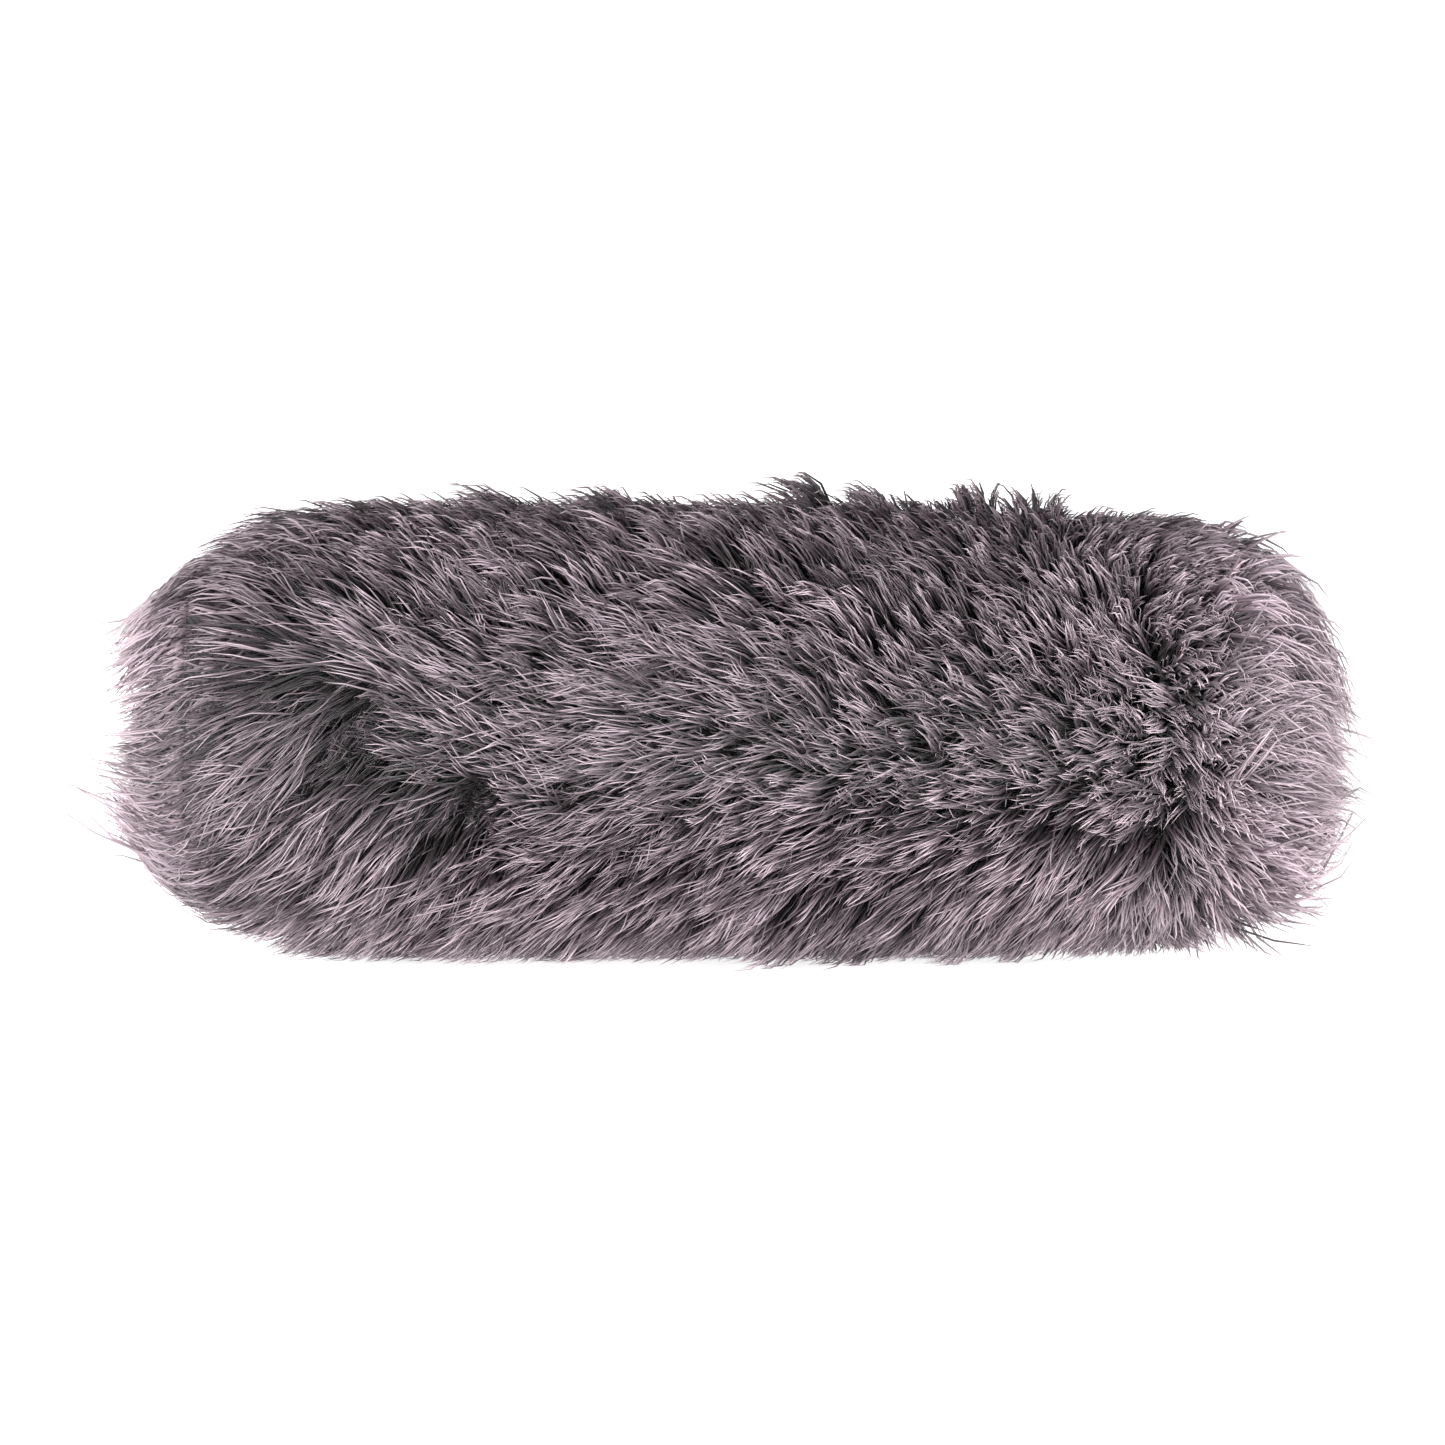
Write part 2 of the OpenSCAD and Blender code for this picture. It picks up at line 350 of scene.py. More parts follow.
def pile_acrylic(fur):
    """Modacrylic pile, steam-set: matt dark roots, a soft sheen on the shafts and pale fine tips."""
    made, tree, shader = new_material(
        "modacrylic pile", Roughness=0.42, Specular_IOR_Level=0.5, Sheen_Weight=0.15, Sheen_Roughness=0.4,
    )
    strand = add(tree, "UVMap", uv_map="OFBake")
    parts = add(tree, "SeparateXYZ", links={"Vector": (strand, "UV")})
    up_the_hair = {"Fac": (parts, "Y")}
    dark = add(tree, "ValToRGB", links=up_the_hair, stops=[
        (0.0, fur.root_colour), (0.55, fur.root_colour), (0.8, fur.dark_colour), (1.0, fur.mid_colour)])
    light = add(tree, "ValToRGB", links=up_the_hair, stops=[
        (0.0, fur.root_colour), (0.4, fur.dark_colour), (0.62, fur.mid_colour),
        (0.85, fur.light_colour), (1.0, fur.tip_colour)])
    mixed = add(tree, "Mix", data_type="RGBA",
                links={"Factor": (parts, "X"), "A": (dark, "Color"), "B": (light, "Color")})
    feed(tree, shader, {"Base Color": (mixed, "Result")})
    return made


def knitted_polyester():
    """Warp-knitted polyester: fine ribs of loops every 0.9 mm, slightly fuzzy, so a soft sheen."""
    made, tree, shader = new_material(
        "knitted polyester", Roughness=0.85, Sheen_Weight=0.35, Sheen_Roughness=0.5)
    place = {"Vector": (add(tree, "UVMap", uv_map="Weave"), "UV")}
    wales = add(tree, "TexWave", {"Scale": 0.5 / 0.9, "Distortion": 0.6, "Detail": 1.0},
                place, bands_direction="X")
    loops = add(tree, "TexWave", {"Scale": 0.62, "Distortion": 1.4, "Detail": 1.0},
                place, bands_direction="Y")
    knit = add(tree, "Math", operation="MULTIPLY", links={0: (wales, "Fac"), 1: (loops, "Fac")})
    yarn = add(tree, "ValToRGB", links={"Fac": (knit, "Value")},
               stops=[(0.0, "2a262a"), (0.5, "4b454a"), (1.0, "655e64")])
    relief = add(tree, "Bump", {"Distance": 0.25 * MM}, {"Height": (knit, "Value")})
    feed(tree, shader, {"Base Color": (yarn, "Color"), "Normal": (relief, "Normal")})
    return made


def open_cell_foam():
    """Reticulated polyurethane foam, hot-wire cut: matt charcoal with 1 mm cells whose hollows are painted
    near black, as painted shade.
    """
    made, tree, shader = new_material("reticulated foam", Roughness=0.95, Specular_IOR_Level=0.2)
    place = {"Vector": (add(tree, "TexCoord"), "Object")}
    cells = add(tree, "TexVoronoi", {"Scale": 900.0, "Randomness": 1.0}, place, feature="DISTANCE_TO_EDGE")
    patches = add(tree, "TexNoise", {"Scale": 120.0, "Detail": 2.0}, place)
    # Painted shade: each cell runs from grey at its edges to near black in its middle, as the shade down in
    # its hollow.
    walls_and_hollow_shade = add(tree, "ValToRGB", links={"Fac": (cells, "Distance")},
                stops=[(0.0, "5a5b61"), (0.12, "3c3d42"), (0.35, "141416")])
    worn = add(tree, "ValToRGB", links={"Fac": (patches, "Fac")}, stops=[(0.35, "e2e2e6"), (0.65, "ffffff")])
    mixed = add(tree, "Mix", {"Factor": 1.0}, {"A": (walls_and_hollow_shade, "Color"), "B": (worn, "Color")},
                data_type="RGBA", blend_type="MULTIPLY")
    feed(tree, shader, {"Base Color": (mixed, "Result")})
    depth = add(tree, "Math", {1: 0.3}, {0: (cells, "Distance")}, operation="MINIMUM")
    relief = add(tree, "Bump", {"Distance": -0.8 * MM}, {"Height": (depth, "Value")})
    feed(tree, shader, {"Normal": (relief, "Normal")})
    return made


def moulded_nylon(name, low, high, grain, rough):
    """Glass-filled nylon from a spark-eroded mould: fine even grain, and faint flow streaks."""
    made, tree, shader = new_material(name, Specular_IOR_Level=0.45, IOR=1.53)
    place = {"Vector": (add(tree, "TexCoord"), "Object")}
    spark = add(tree, "TexNoise", {"Scale": 1 / grain, "Detail": 3.0, "Roughness": 0.6}, place)
    stretched = add(tree, "Mapping", {"Scale": (0.25, 1, 1)}, place)
    flow = add(tree, "TexNoise", {"Scale": 90.0, "Detail": 4.0, "Distortion": 0.8},
               {"Vector": (stretched, "Vector")})
    tone = add(tree, "ValToRGB", links={"Fac": (flow, "Fac")}, stops=[(0.3, low), (0.7, high)])
    gloss = add(tree, "MapRange", {"To Min": rough - 0.08, "To Max": rough + 0.1}, {"Value": (flow, "Fac")})
    relief = add(tree, "Bump", {"Distance": 0.06 * MM}, {"Height": (spark, "Fac")})
    feed(tree, shader, {"Base Color": (tone, "Color"), "Roughness": (gloss, "Result"),
                        "Normal": (relief, "Normal")})
    return made


def patterned(name, kind, values, stops, height=0, rough=None, weave=False, texture=None, **sockets):
    """A material whose one pattern gives its colour, and where asked its relief and its roughness.

    The pattern lies by the cloth's own map, in millimetres, or by its place on the piece, in metres.
    """
    made, tree, shader = new_material(name, **sockets)
    laid = add(tree, "UVMap", uv_map="Weave") if weave else add(tree, "TexCoord")
    pattern = add(tree, kind, values, {"Vector": (laid, "UV" if weave else "Object")}, **(texture or {}))
    tone = add(tree, "ValToRGB", links={"Fac": (pattern, "Fac")}, stops=stops)
    feed(tree, shader, {"Base Color": (tone, "Color")})
    if rough:
        gloss = add(tree, "MapRange", {"To Min": rough[0], "To Max": rough[1]}, {"Value": (pattern, "Fac")})
        feed(tree, shader, {"Roughness": (gloss, "Result")})
    if height:
        relief = add(tree, "Bump", {"Distance": height}, {"Height": (pattern, "Fac")})
        feed(tree, shader, {"Normal": (relief, "Normal")})
    return made


def silicone_rubber():
    """Moulded silicone rubber: matt black, with a fine bloom of lint that greys it in patches."""
    return patterned(
        "silicone rubber", "TexNoise", {"Scale": 260.0, "Detail": 5.0, "Roughness": 0.65},
        [(0.4, "161617"), (0.62, "1f1f21"), (0.75, "333336")], 0.05 * MM, (0.55, 0.8),
        Specular_IOR_Level=0.35, IOR=1.41)


def woven_mesh():
    """Acoustic mesh of fine polyester monofilament, drawn at 0.8 mm so that its grid can show."""
    made, tree, shader = new_material("monofilament mesh", Roughness=0.5, Specular_IOR_Level=0.5)
    place = {"Vector": (add(tree, "TexCoord"), "Object")}
    centred = add(tree, "Mapping", {"Location": (0, 0, -axis_z)}, place)
    parts = add(tree, "SeparateXYZ", links={"Vector": (centred, "Vector")})
    turn = add(tree, "Math", operation="ARCTAN2", links={0: (parts, "Z"), 1: (parts, "Y")})
    threads = []
    for source, output, per_unit in ((parts, "X", 1 / (0.8 * MM)), (turn, "Value", 160.0)):
        scaled = add(tree, "Math", {1: per_unit}, {0: (source, output)}, operation="MULTIPLY")
        threads.append(add(tree, "Math", {1: 1.0}, {0: (scaled, "Value")}, operation="PINGPONG"))
    weave = add(tree, "Math", operation="MAXIMUM", links={0: (threads[0], 0), 1: (threads[1], 0)})
    tone = add(tree, "ValToRGB", links={"Fac": (weave, "Value")},
               stops=[(0.55, "18191b"), (0.8, "54565a"), (1.0, "7d8085")])
    relief = add(tree, "Bump", {"Distance": 0.15 * MM}, {"Height": (weave, "Value")})
    feed(tree, shader, {"Base Color": (tone, "Color"), "Normal": (relief, "Normal")})
    return made


def woven_tape():
    """Polyester twill tape: a fine diagonal rib every 0.9 mm, soft black."""
    return patterned(
        "twill tape", "TexWave", {"Scale": 0.5, "Distortion": 0.5, "Detail": 1.0},
        [(0.1, "1b191b"), (0.9, "3b383b")], 0.2 * MM, weave=True,
        texture={"bands_direction": "DIAGONAL"},
        Roughness=0.8, Sheen_Weight=0.25, Sheen_Roughness=0.5)


def braided_elastic():
    """Braided polyester over rubber: off-white, with a herringbone of raised cords."""
    return patterned(
        "braided elastic", "TexWave", {"Scale": 0.45, "Distortion": 3.0, "Detail Scale": 1.2},
        [(0.0, "a39e94"), (1.0, "e9e5dc")], 0.3 * MM, weave=True,
        texture={"bands_direction": "Y"}, Roughness=0.7, Sheen_Weight=0.2)


def sewing_thread():
    """Spun polyester thread: dark grey, two plies that show as a fine twist."""
    return patterned(
        "spun thread", "TexWave", {"Scale": 700.0, "Distortion": 1.0},
        [(0.0, "3a363a"), (1.0, "6a646a")], texture={"bands_direction": "DIAGONAL"},
        Roughness=0.6, Sheen_Weight=0.3)


def zinc_steel():
    """Zinc-plated steel: pale blue-grey metal, faintly cloudy and slightly rough."""
    return patterned(
        "zinc-plated steel", "TexNoise", {"Scale": 900.0, "Detail": 3.0},
        [(0.35, "9da1a6"), (0.65, "c6c9cc")], rough=(0.25, 0.45), Metallic=1.0)


# The lie of the fur.

# Strokes of the brush on the side that faces front: millimetres along the axis, degrees up from
# the middle of the side, which way the tips lie, and how far they lie over. 180 is to the rear,
# 90 up and 0 to the nose; 1 is laid flat and 0 stands straight up.
STROKES = (
    (-112, 55, 176, 1.0), (-112, 15, 184, 1.0), (-112, -20, 192, 1.0), (-112, -60, 196, 1.0),
    (-88, 62, 165, 1.0), (-88, 35, 178, 1.0), (-88, 12, 195, 1.0), (-88, -12, 206, 1.0),
    (-88, -40, 205, 1.0), (-88, -70, 190, 1.0), (-70, 40, 166, 1.0), (-70, 14, 210, 1.0),
    (-74, -6, 216, 1.0), (-66, -24, 214, 1.0), (-58, 24, 156, 1.0), (-55, 4, 150, 1.0),
    (-55, -12, 214, 1.0), (-50, -28, 218, 1.0), (-64, -50, 206, 1.0), (-52, 65, 148, 0.9),
    (-42, -10, 150, 0.9), (-36, -26, 158, 0.9), (-36, -50, 196, 1.0), (-50, -74, 200, 1.0),
    (-30, 40, 160, 0.9), (-30, 12, 166, 0.9), (-12, 62, 144, 0.9), (-10, 28, 164, 0.9),
    (-10, 0, 168, 0.9), (-10, -28, 178, 0.9), (-8, -46, 204, 1.0), (-10, -70, 208, 1.0),
    (16, 65, 140, 0.9), (16, 32, 158, 0.8), (16, 6, 160, 0.8), (14, -20, 168, 0.8), (20, -38, 196, 1.0),
    (18, -62, 216, 0.9), (42, 66, 132, 0.8), (40, 35, 150, 0.7), (42, 8, 150, 0.7),
    (42, -14, 156, 0.75), (40, -34, 170, 0.8), (44, -50, 214, 1.0), (42, -72, 222, 0.9),
    (58, 66, 126, 0.6), (60, 36, 148, 0.7), (60, 6, 148, 0.75), (62, -14, 154, 0.75),
    (64, -30, 212, 1.0), (66, -54, 218, 0.9), (74, 66, 28, 0.6), (72, 42, 138, 0.5), (78, 20, 146, 0.6),
    (78, -2, 150, 0.6), (78, -18, 156, 0.6), (74, -34, 214, 0.9), (76, -58, 222, 0.7),
    (85, -47, 268, 0.6), (84, 66, 14, 0.8), (84, 40, 20, 0.4), (90, 16, -26, 0.4), (90, -6, -32, 0.4),
    (94, 60, 12, 0.8), (94, 36, -4, 0.6), (98, 10, -22, 0.7), (98, -12, -28, 0.7), (94, -34, -34, 0.6),
    (92, -60, -40, 0.7),
)
# Partings that show the roots, where hairs are cut short and painted dark as painted shade: three points
# along each, and how wide it is in millimetres.
PARTINGS = (
    (((-67, 24), (-65, 0), (-80, -19)), 3.2), (((-44, -7), (-43, -22), (-57, -32)), 3.2),
    (((88, -20), (80, -27), (70, -39)), 2.2), (((20, -38), (24, -42), (18, -47)), 1.6),
)
# Tufts that stand proud of the outline: the same coordinates, and how far they stand, from 0 to 1.
RUFFLED = (
    (-76, 80, 0.4), (-37, 82, 0.5), (-15, 82, 0.6), (24, 82, 1.0), (35, 76, 0.8), (52, 84, 1.0),
    (61, 78, 0.9), (22, -62, 0.8), (34, -70, 0.8), (52, -64, 0.8), (62, -72, 0.8), (-97, 54, 0.9),
    (-98, -8, 0.8), (-96, -52, 0.8),
)


def comb(x, angle):
    """Which way the tips lie at points of the skin: components along +X and along rising angle."""
    height = np.arcsin(np.clip(np.sin(angle), -1, 1))
    back = np.where(np.cos(angle) < 0, -1.0, 1.0)
    drift = np.where(back < 0, 9 * MM, 0.0)
    total, weights = np.zeros((2, len(x))), np.zeros(len(x))
    for stroke_x, stroke_height, lie, flat in STROKES:
        across = r_fur * (height - math.radians(stroke_height))
        away = ((x + drift - stroke_x * MM) ** 2 + across ** 2) / (10 * MM) ** 2
        weight = 1 / (0.15 + away) ** 4.0
        total[0] += weight * flat * math.cos(math.radians(lie))
        total[1] += weight * flat * math.sin(math.radians(lie))
        weights += weight
    total /= weights
    # Along the ridge and underneath, where the two sides meet, the pile lies straight back.
    return total[0], total[1] * back * np.clip(2.5 * np.abs(np.cos(angle)), 0, 1)


def ruffled(x, angle):
    """How far points of the skin belong to a proud tuft, from 0 to 1, and how far ahead its middle is."""
    height = np.degrees(np.arcsin(np.clip(np.sin(angle), -1, 1)))
    proud, ahead = np.zeros(len(x)), np.zeros(len(x))
    for tuft_x, tuft_height, stand in RUFFLED:
        away = np.hypot(x / MM - tuft_x, 0.7 * (height - tuft_height))
        share = stand * np.clip(1.5 - away / 3.5, 0, 1)
        ahead = np.where(share > proud, tuft_x * MM - x, ahead)
        proud = np.maximum(proud, share)
    return proud, ahead


def parted(points):
    """Which hairs would reach over a parting. points is hairs x rings x 3."""
    outer = points[:, 1:]
    height = np.degrees(np.arctan2(outer[..., 2] - axis_z, -outer[..., 1])) * 0.75 * MM
    hit = np.zeros(len(points), dtype=bool)
    for (first, middle, last), width in PARTINGS:
        for step in np.linspace(0, 1, 11):
            spot = [(1 - step) ** 2 * a + 2 * step * (1 - step) * b + step ** 2 * c
                    for a, b, c in zip(first, middle, last)]
            away = np.hypot(outer[..., 0] - spot[0] * MM, height - 0.75 * spot[1] * MM)
            hit |= (away < width * MM * math.sin(math.pi * (0.1 + 0.8 * step))).any(axis=1)
    return hit


def turned(along, around, by):
    """A direction on the skin, turned by an angle."""
    return along * np.cos(by) - around * np.sin(by), along * np.sin(by) + around * np.cos(by)


def nearest(points, centres):
    """The index of the nearest centre for each point."""
    tree = KDTree(len(centres))
    for i, centre in enumerate(centres):
        tree.insert(centre, i)
    tree.balance()
    return np.array([tree.find(point)[1] for point in points])


# How far the rounding of the fur's two ends reaches, and where the ends come to a point.
REAR_ROUND, NOSE_ROUND = 55 * MM, 80 * MM
REAR_TIP, NOSE_TIP = x_rear + 6.5 * MM, x_nose + 1.1 * MM


def rounding(x):
    """How much of the outline's roundness a place along the axis uses up, and the full radius there."""
    to_rear = np.maximum(REAR_TIP + REAR_ROUND - x, 0) / REAR_ROUND
    to_nose = np.maximum(x - NOSE_TIP + NOSE_ROUND, 0) / NOSE_ROUND
    full = 0.965 * r_fur - 3 * MM * np.clip((x - 30 * MM) / (60 * MM), 0, 1)
    return to_rear ** 3 + to_nose ** 6, full


def outwardness(points):
    """How far out points are: 1 on the fur's outline, which is a cylinder with rounded ends."""
    used, full = rounding(points[..., 0])
    # The nose hangs a little.
    hang = 6 * MM * np.clip((points[..., 0] - 95 * MM) / (25 * MM), 0, 1) ** 2
    r = np.hypot(points[..., 1], points[..., 2] - axis_z + hang)
    return np.sqrt((r / full) ** 2 + used)


def pressed(x, r, share):
    """Radii with a share of what stands outside the outline pressed in."""
    used, full = rounding(x)
    return r - share * np.maximum(r - full * np.sqrt(np.maximum(1 - used, 0.015)), 0)


def trimmed(spines, limit):
    """Shortens each hair so that its tip comes no further out than its limit."""
    root, tip = spines[:, 0], spines[:, -1]
    low, high = np.full(len(spines), 0.2), np.ones(len(spines))
    for halving in range(9):
        middle = (low + high) / 2
        inside = outwardness(root + middle[:, None] * (tip - root)) < limit
        low, high = np.where(inside, middle, low), np.where(inside, high, middle)
    share = np.where(outwardness(tip) < limit, 1, low)
    return root[:, None] + share[:, None, None] * (spines - root[:, None])


def hair(rings):
    """One hair: a three-sided spike one metre tall, with rings at the given heights."""
    deselect()
    bpy.ops.mesh.primitive_cone_add(
        vertices=3, radius1=1.0, radius2=0.0, depth=1.0, end_fill_type="NGON", location=(0, 0, 0.5),
    )
    spike = settle(fresh("hair"))
    with edit_mode():
        for height in rings:
            bpy.ops.mesh.select_all(action="SELECT")
            bpy.ops.mesh.bisect(plane_co=(0, 0, height), plane_no=(0, 0, 1))
        bpy.ops.mesh.select_all(action="SELECT")
        bpy.ops.mesh.remove_doubles(threshold=1e-6)
        bpy.ops.mesh.normals_make_consistent(inside=False)
    return spike


class Spike:
    """The hair's mesh as arrays, ready for planting."""

    def __init__(self, rings):
        made = hair(rings)
        mesh = made.data
        points = coordinates(made)
        self.heights = np.unique(np.round(points[:, 2], 5))
        self.level = np.searchsorted(self.heights, np.round(points[:, 2], 5))
        # A hair keeps its thickness for most of its length and then runs out to a point.
        taper = (1 - self.heights ** 2.2) ** 0.8 * (0.55 + 0.45 * np.minimum(1, self.heights * 4))
        flat = np.hypot(points[:, 0], points[:, 1])
        side = np.where(flat[:, None] > 1e-6, points[:, :2] / np.maximum(flat, 1e-6)[:, None], 0)
        self.offset = side * taper[self.level][:, None]
        corner = np.arctan2(points[:, 1], points[:, 0])
        self.corner = np.where(flat > 1e-6, np.round((corner - corner.min()) / (2 * math.pi / 3)) % 3, 0)
        self.loops = np.array([loop.vertex_index for loop in mesh.loops])
        self.sizes = np.array([polygon.loop_total for polygon in mesh.polygons])
        bpy.data.objects.remove(made, do_unlink=True)
        bpy.data.meshes.remove(mesh)


# Shades that the hairs are sorted into, so that baking keeps them apart, and the middle one.
SHADES, MIDDLE_SHADE = 64, 0.46


def planted(spike, spines, width, shade, paler):
    """Plants a spike along each spine. spines is hairs x rings x 3, and shade is 0 to 1 for each hair.

    paler is how much of the dark root each hair goes without.
    """
    hairs = len(spines)
    tangent = np.gradient(spines, axis=1)
    tangent /= np.maximum(np.linalg.norm(tangent, axis=2, keepdims=True), 1e-9)
    outward = spines * (0, 1, 1) - (0, 0, axis_z)
    side = np.cross(tangent, outward)
    side /= np.maximum(np.linalg.norm(side, axis=2, keepdims=True), 1e-9)
    rise = np.cross(side, tangent)
    points = spines[:, spike.level] + width[:, None, None] * (
        side[:, spike.level] * spike.offset[None, :, :1] + rise[:, spike.level] * spike.offset[None, :, 1:]
    )
    count = points.shape[1]
    mesh = bpy.data.meshes.new("pile")
    mesh.vertices.add(hairs * count)
    mesh.vertices.foreach_set("co", points.ravel())
    loops = (np.arange(hairs)[:, None] * count + spike.loops[None, :]).ravel()
    sizes = np.tile(spike.sizes, hairs)
    mesh.loops.add(len(loops))
    mesh.loops.foreach_set("vertex_index", loops)
    mesh.polygons.add(len(sizes))
    mesh.polygons.foreach_set("loop_start", np.concatenate([[0], np.cumsum(sizes)[:-1]]))
    layer = mesh.uv_layers.new(name="OFBake")
    column = np.clip((shade * SHADES).astype(int), 0, SHADES - 1)
    across = (column[:, None] + 0.1 + 0.4 * spike.corner[spike.loops][None, :]) / SHADES
    start = np.broadcast_to(np.asarray(paler, dtype=float).reshape(-1, 1), (hairs, 1)) + 0.01
    along = start + (0.99 - start) * spike.heights[spike.level][spike.loops][None, :]
    layer.data.foreach_set("uv", np.stack([across, along], axis=2).ravel())
    mesh.polygons.foreach_set("use_smooth", np.ones(len(sizes), dtype=bool))
    mesh.update(calc_edges=True)
    return linked("pile", mesh)


def joined(name, *pieces):
    """Joins pieces into the first, under one name."""
    deselect()
    for piece in pieces:
        piece.select_set(True)
    bpy.context.view_layer.objects.active = pieces[0]
    bpy.ops.object.join()
    return fresh(name)


def lifted(points):
    """Presses what would lie under the floor into a thin splay on it."""
    near = 2.5 * MM
    z = points[..., 2]
    points[..., 2] = np.where(z < near, FLOOR_GAP + (near - FLOOR_GAP) * np.exp((z - near) / near), z)
    return points


def hair_kinds(guard, under):
    """Guard hair and underfur: whether it is underfur, how many hairs, and the hair's shape."""
    return (0, guard, Spike((0.3, 0.58, 0.82))), (1, under, Spike((0.4, 0.75)))


class Pile:
    """Loose pile: roots on the skin, gathered into clumps and tufts that share their lie."""

    def __init__(self, fur, x, r, angle, area, seed):
        self.fur, self.x, self.r, self.angle = fur, x, r, angle
        self.rng = np.random.default_rng(seed)
        root = from_axis(x, r, angle)
        self.clumps = self.gather(area / fur.clump_spacing ** 2)
        self.tufts = self.gather(area / fur.tuft_spacing ** 2)
        self.clump = nearest(root, root[self.clumps])
        self.tuft = nearest(root[self.clumps], root[self.tufts])[self.clump]

    def gather(self, count):
        """Roots taken as centres."""
        return self.rng.choice(len(self.x), size=min(len(self.x), int(count) + 2), replace=False)

    def spread(self, hair_share, clump_share, tuft_share):
        """Noise about 0 for each hair, part of it shared by the clump and by the tuft."""
        normal = self.rng.standard_normal
        return (hair_share * normal(len(self.x)) + clump_share * normal(len(self.clumps))[self.clump]
                + tuft_share * normal(len(self.tufts))[self.tuft])

    def width(self, under):
        """Each hair's radius."""
        middle = self.fur.under_width if under else self.fur.guard_width
        return middle * self.rng.uniform(0.75, 1.25, len(self.x))

    def waves(self):
        """Two random phases for each clump, as seen by its hairs."""
        return self.rng.uniform(0, 2 * math.pi, (2, len(self.clumps)))[:, self.clump, None]

    def shade(self, bias=0.0):
        """How light each hair is, from 0 to 1. The pile is painted paler towards both ends as painted light,
        and darker on top and underneath as painted shade.
        """
        # Painted light: towards both ends the hairs are painted paler, for thin hair glowing against the
        # light.
        to_end = np.maximum(x_rear + 40 * MM - self.x, self.x - x_nose + 45 * MM) / (30 * MM)
        pale = (0.3 + 0.25 * (self.x < -90 * MM)) * np.clip(to_end, 0, 1)
        # Painted shade: the pile is painted darker on top and underneath than on the side that faces front,
        # as the front lamps would leave it.
        pale -= 0.26 * np.sin(self.angle) ** 2
        strong = 1 + 0.35 * np.clip(np.maximum(-25 * MM - self.x, self.x - 90 * MM) / (15 * MM), 0, 1)
        return np.clip(MIDDLE_SHADE + bias + pale + strong * self.spread(0.12, 0.28, 0.05), 0.01, 0.99)


def pull_home(pile, t, strength, power):
    """How far each hair's points are drawn to its clump's centre: along the axis, in angle, in radius."""
    home = pile.clumps[pile.clump]
    pull = strength * pile.rng.uniform(0.7, 1.1, len(pile.x))[:, None] * t ** power
    turn = (pile.angle[home] - pile.angle + math.pi) % (2 * math.pi) - math.pi
    return tuple(gap[:, None] * pull for gap in (pile.x[home] - pile.x, turn, pile.r[home] - pile.r))


def body_spines(pile, heights, under):
    """Spines of the jacket's body pile. under is 0 for guard hair and 1 for underfur."""
    fur, rng = pile.fur, pile.rng
    count = len(pile.x)
    t = heights[None, :]
    # Neighbouring clumps are combed as from slightly different places, so partings come out ragged.
    astray = rng.standard_normal((2, len(pile.clumps)))
    along, around = comb(pile.x[pile.clumps] + 3.5 * MM * astray[0],
                         pile.angle[pile.clumps] + 0.05 * astray[1])
    along, around = along[pile.clump], around[pile.clump]
    along, around = turned(along, around, pile.spread(0.10 + 0.15 * under, 0.20, 0.16))
    # Towards the mouth the pile lies flatter, and closes in over the elastic.
    mouth = np.clip((-58 * MM - pile.x) / (40 * MM), 0, 1)
    proud, to_tuft = ruffled(pile.x, pile.angle)
    length = fur.length * (1 - 0.38 * under) * (1 + 0.05 * mouth + 0.25 * proud)
    length = (length * np.exp(pile.spread(0.10, 0.10, 0.04)))[:, None]
    lie = math.radians(fur.lie_angle) - math.radians(58) * mouth + pile.spread(0.08, 0.10, 0.05)
    over = np.clip(np.hypot(along, around), 0.05, 1)
    lie = np.pi / 2 - (np.pi / 2 - np.clip(lie, -0.5, 1.4)) * over
    run = length * np.cos(lie)[:, None] * t ** 1.15
    # On top, and on the back, the pile bends over more than on the side that faces front.
    bend = (1.3 + 0.9 * np.clip(1.5 * np.sin(pile.angle) - 0.5, 0, 1))[:, None]
    h = length * np.sin(lie)[:, None] * (1 - (1 - t) ** bend)
    to_clump = pull_home(pile, t, fur.clumping * (1 - 0.55 * under), 1.1)
    wave = pile.waves()
    phase = rng.uniform(0, 2 * math.pi, (2, count, 1))
    crimp = (0.2 + 0.4 * under) * MM * np.sqrt(t)
    x = pile.x[:, None] + (along / over)[:, None] * run + to_clump[0]
    x = x + (to_tuft * (proud > 0))[:, None] * 0.8 * t ** 1.2
    x = x + fur.wave * t * np.sin(wave[0] + 5 * t) + crimp * np.sin(phase[0] + 7 * t)
    aside = (around / over)[:, None] * run + fur.wave * t * np.sin(wave[1] + 5 * t)
    aside = aside + crimp * np.sin(phase[1] + 6 * t)
    angle = pile.angle[:, None] + to_clump[1] + aside / (pile.r[:, None] + 0.75 * np.maximum(h, 0))
    # Over the jacket the hair can't sink into the cloth; past its mouth there is no cloth.
    floor = r_backing + JACKET_CLEAR + 0.4 * MM * t - 1.1 * np.maximum(x_mouth - x, 0)
    to_nose = np.clip((pile.x - 74 * MM) / (12 * MM), 0, 1)
    press = rng.uniform(0.3, 1.1, len(pile.clumps))[pile.clump]
    r = pressed(x, pile.r[:, None] + h, (press * np.maximum(mouth, 0.7 * to_nose))[:, None])
    points = from_axis(x, np.maximum(r, np.maximum(floor, 10 * MM)), angle)
    limit = 0.97 + 0.03 * np.abs(rng.standard_normal(count)) + 0.12 * proud
    # At the mouth the tips run out unevenly, so that the end looks thin.
    uneven = 0.07 * rng.exponential(size=count) + pile.spread(0, 0.02, 0.03) - 0.12
    limit += np.clip((-88 * MM - pile.x) / (8 * MM), 0, 1) * uneven
    points = trimmed(points, limit)
    points[..., 2] -= 1.2 * MM * t ** 2
    # Hairs that would reach over a parting are cut short, and the pile operator paints them dark as the
    # shade in the parting.
    hidden = parted(points)
    points = points[:, :1] + np.where(hidden, 0.35, 1)[:, None, None] * (points - points[:, :1])
    return lifted(points), hidden


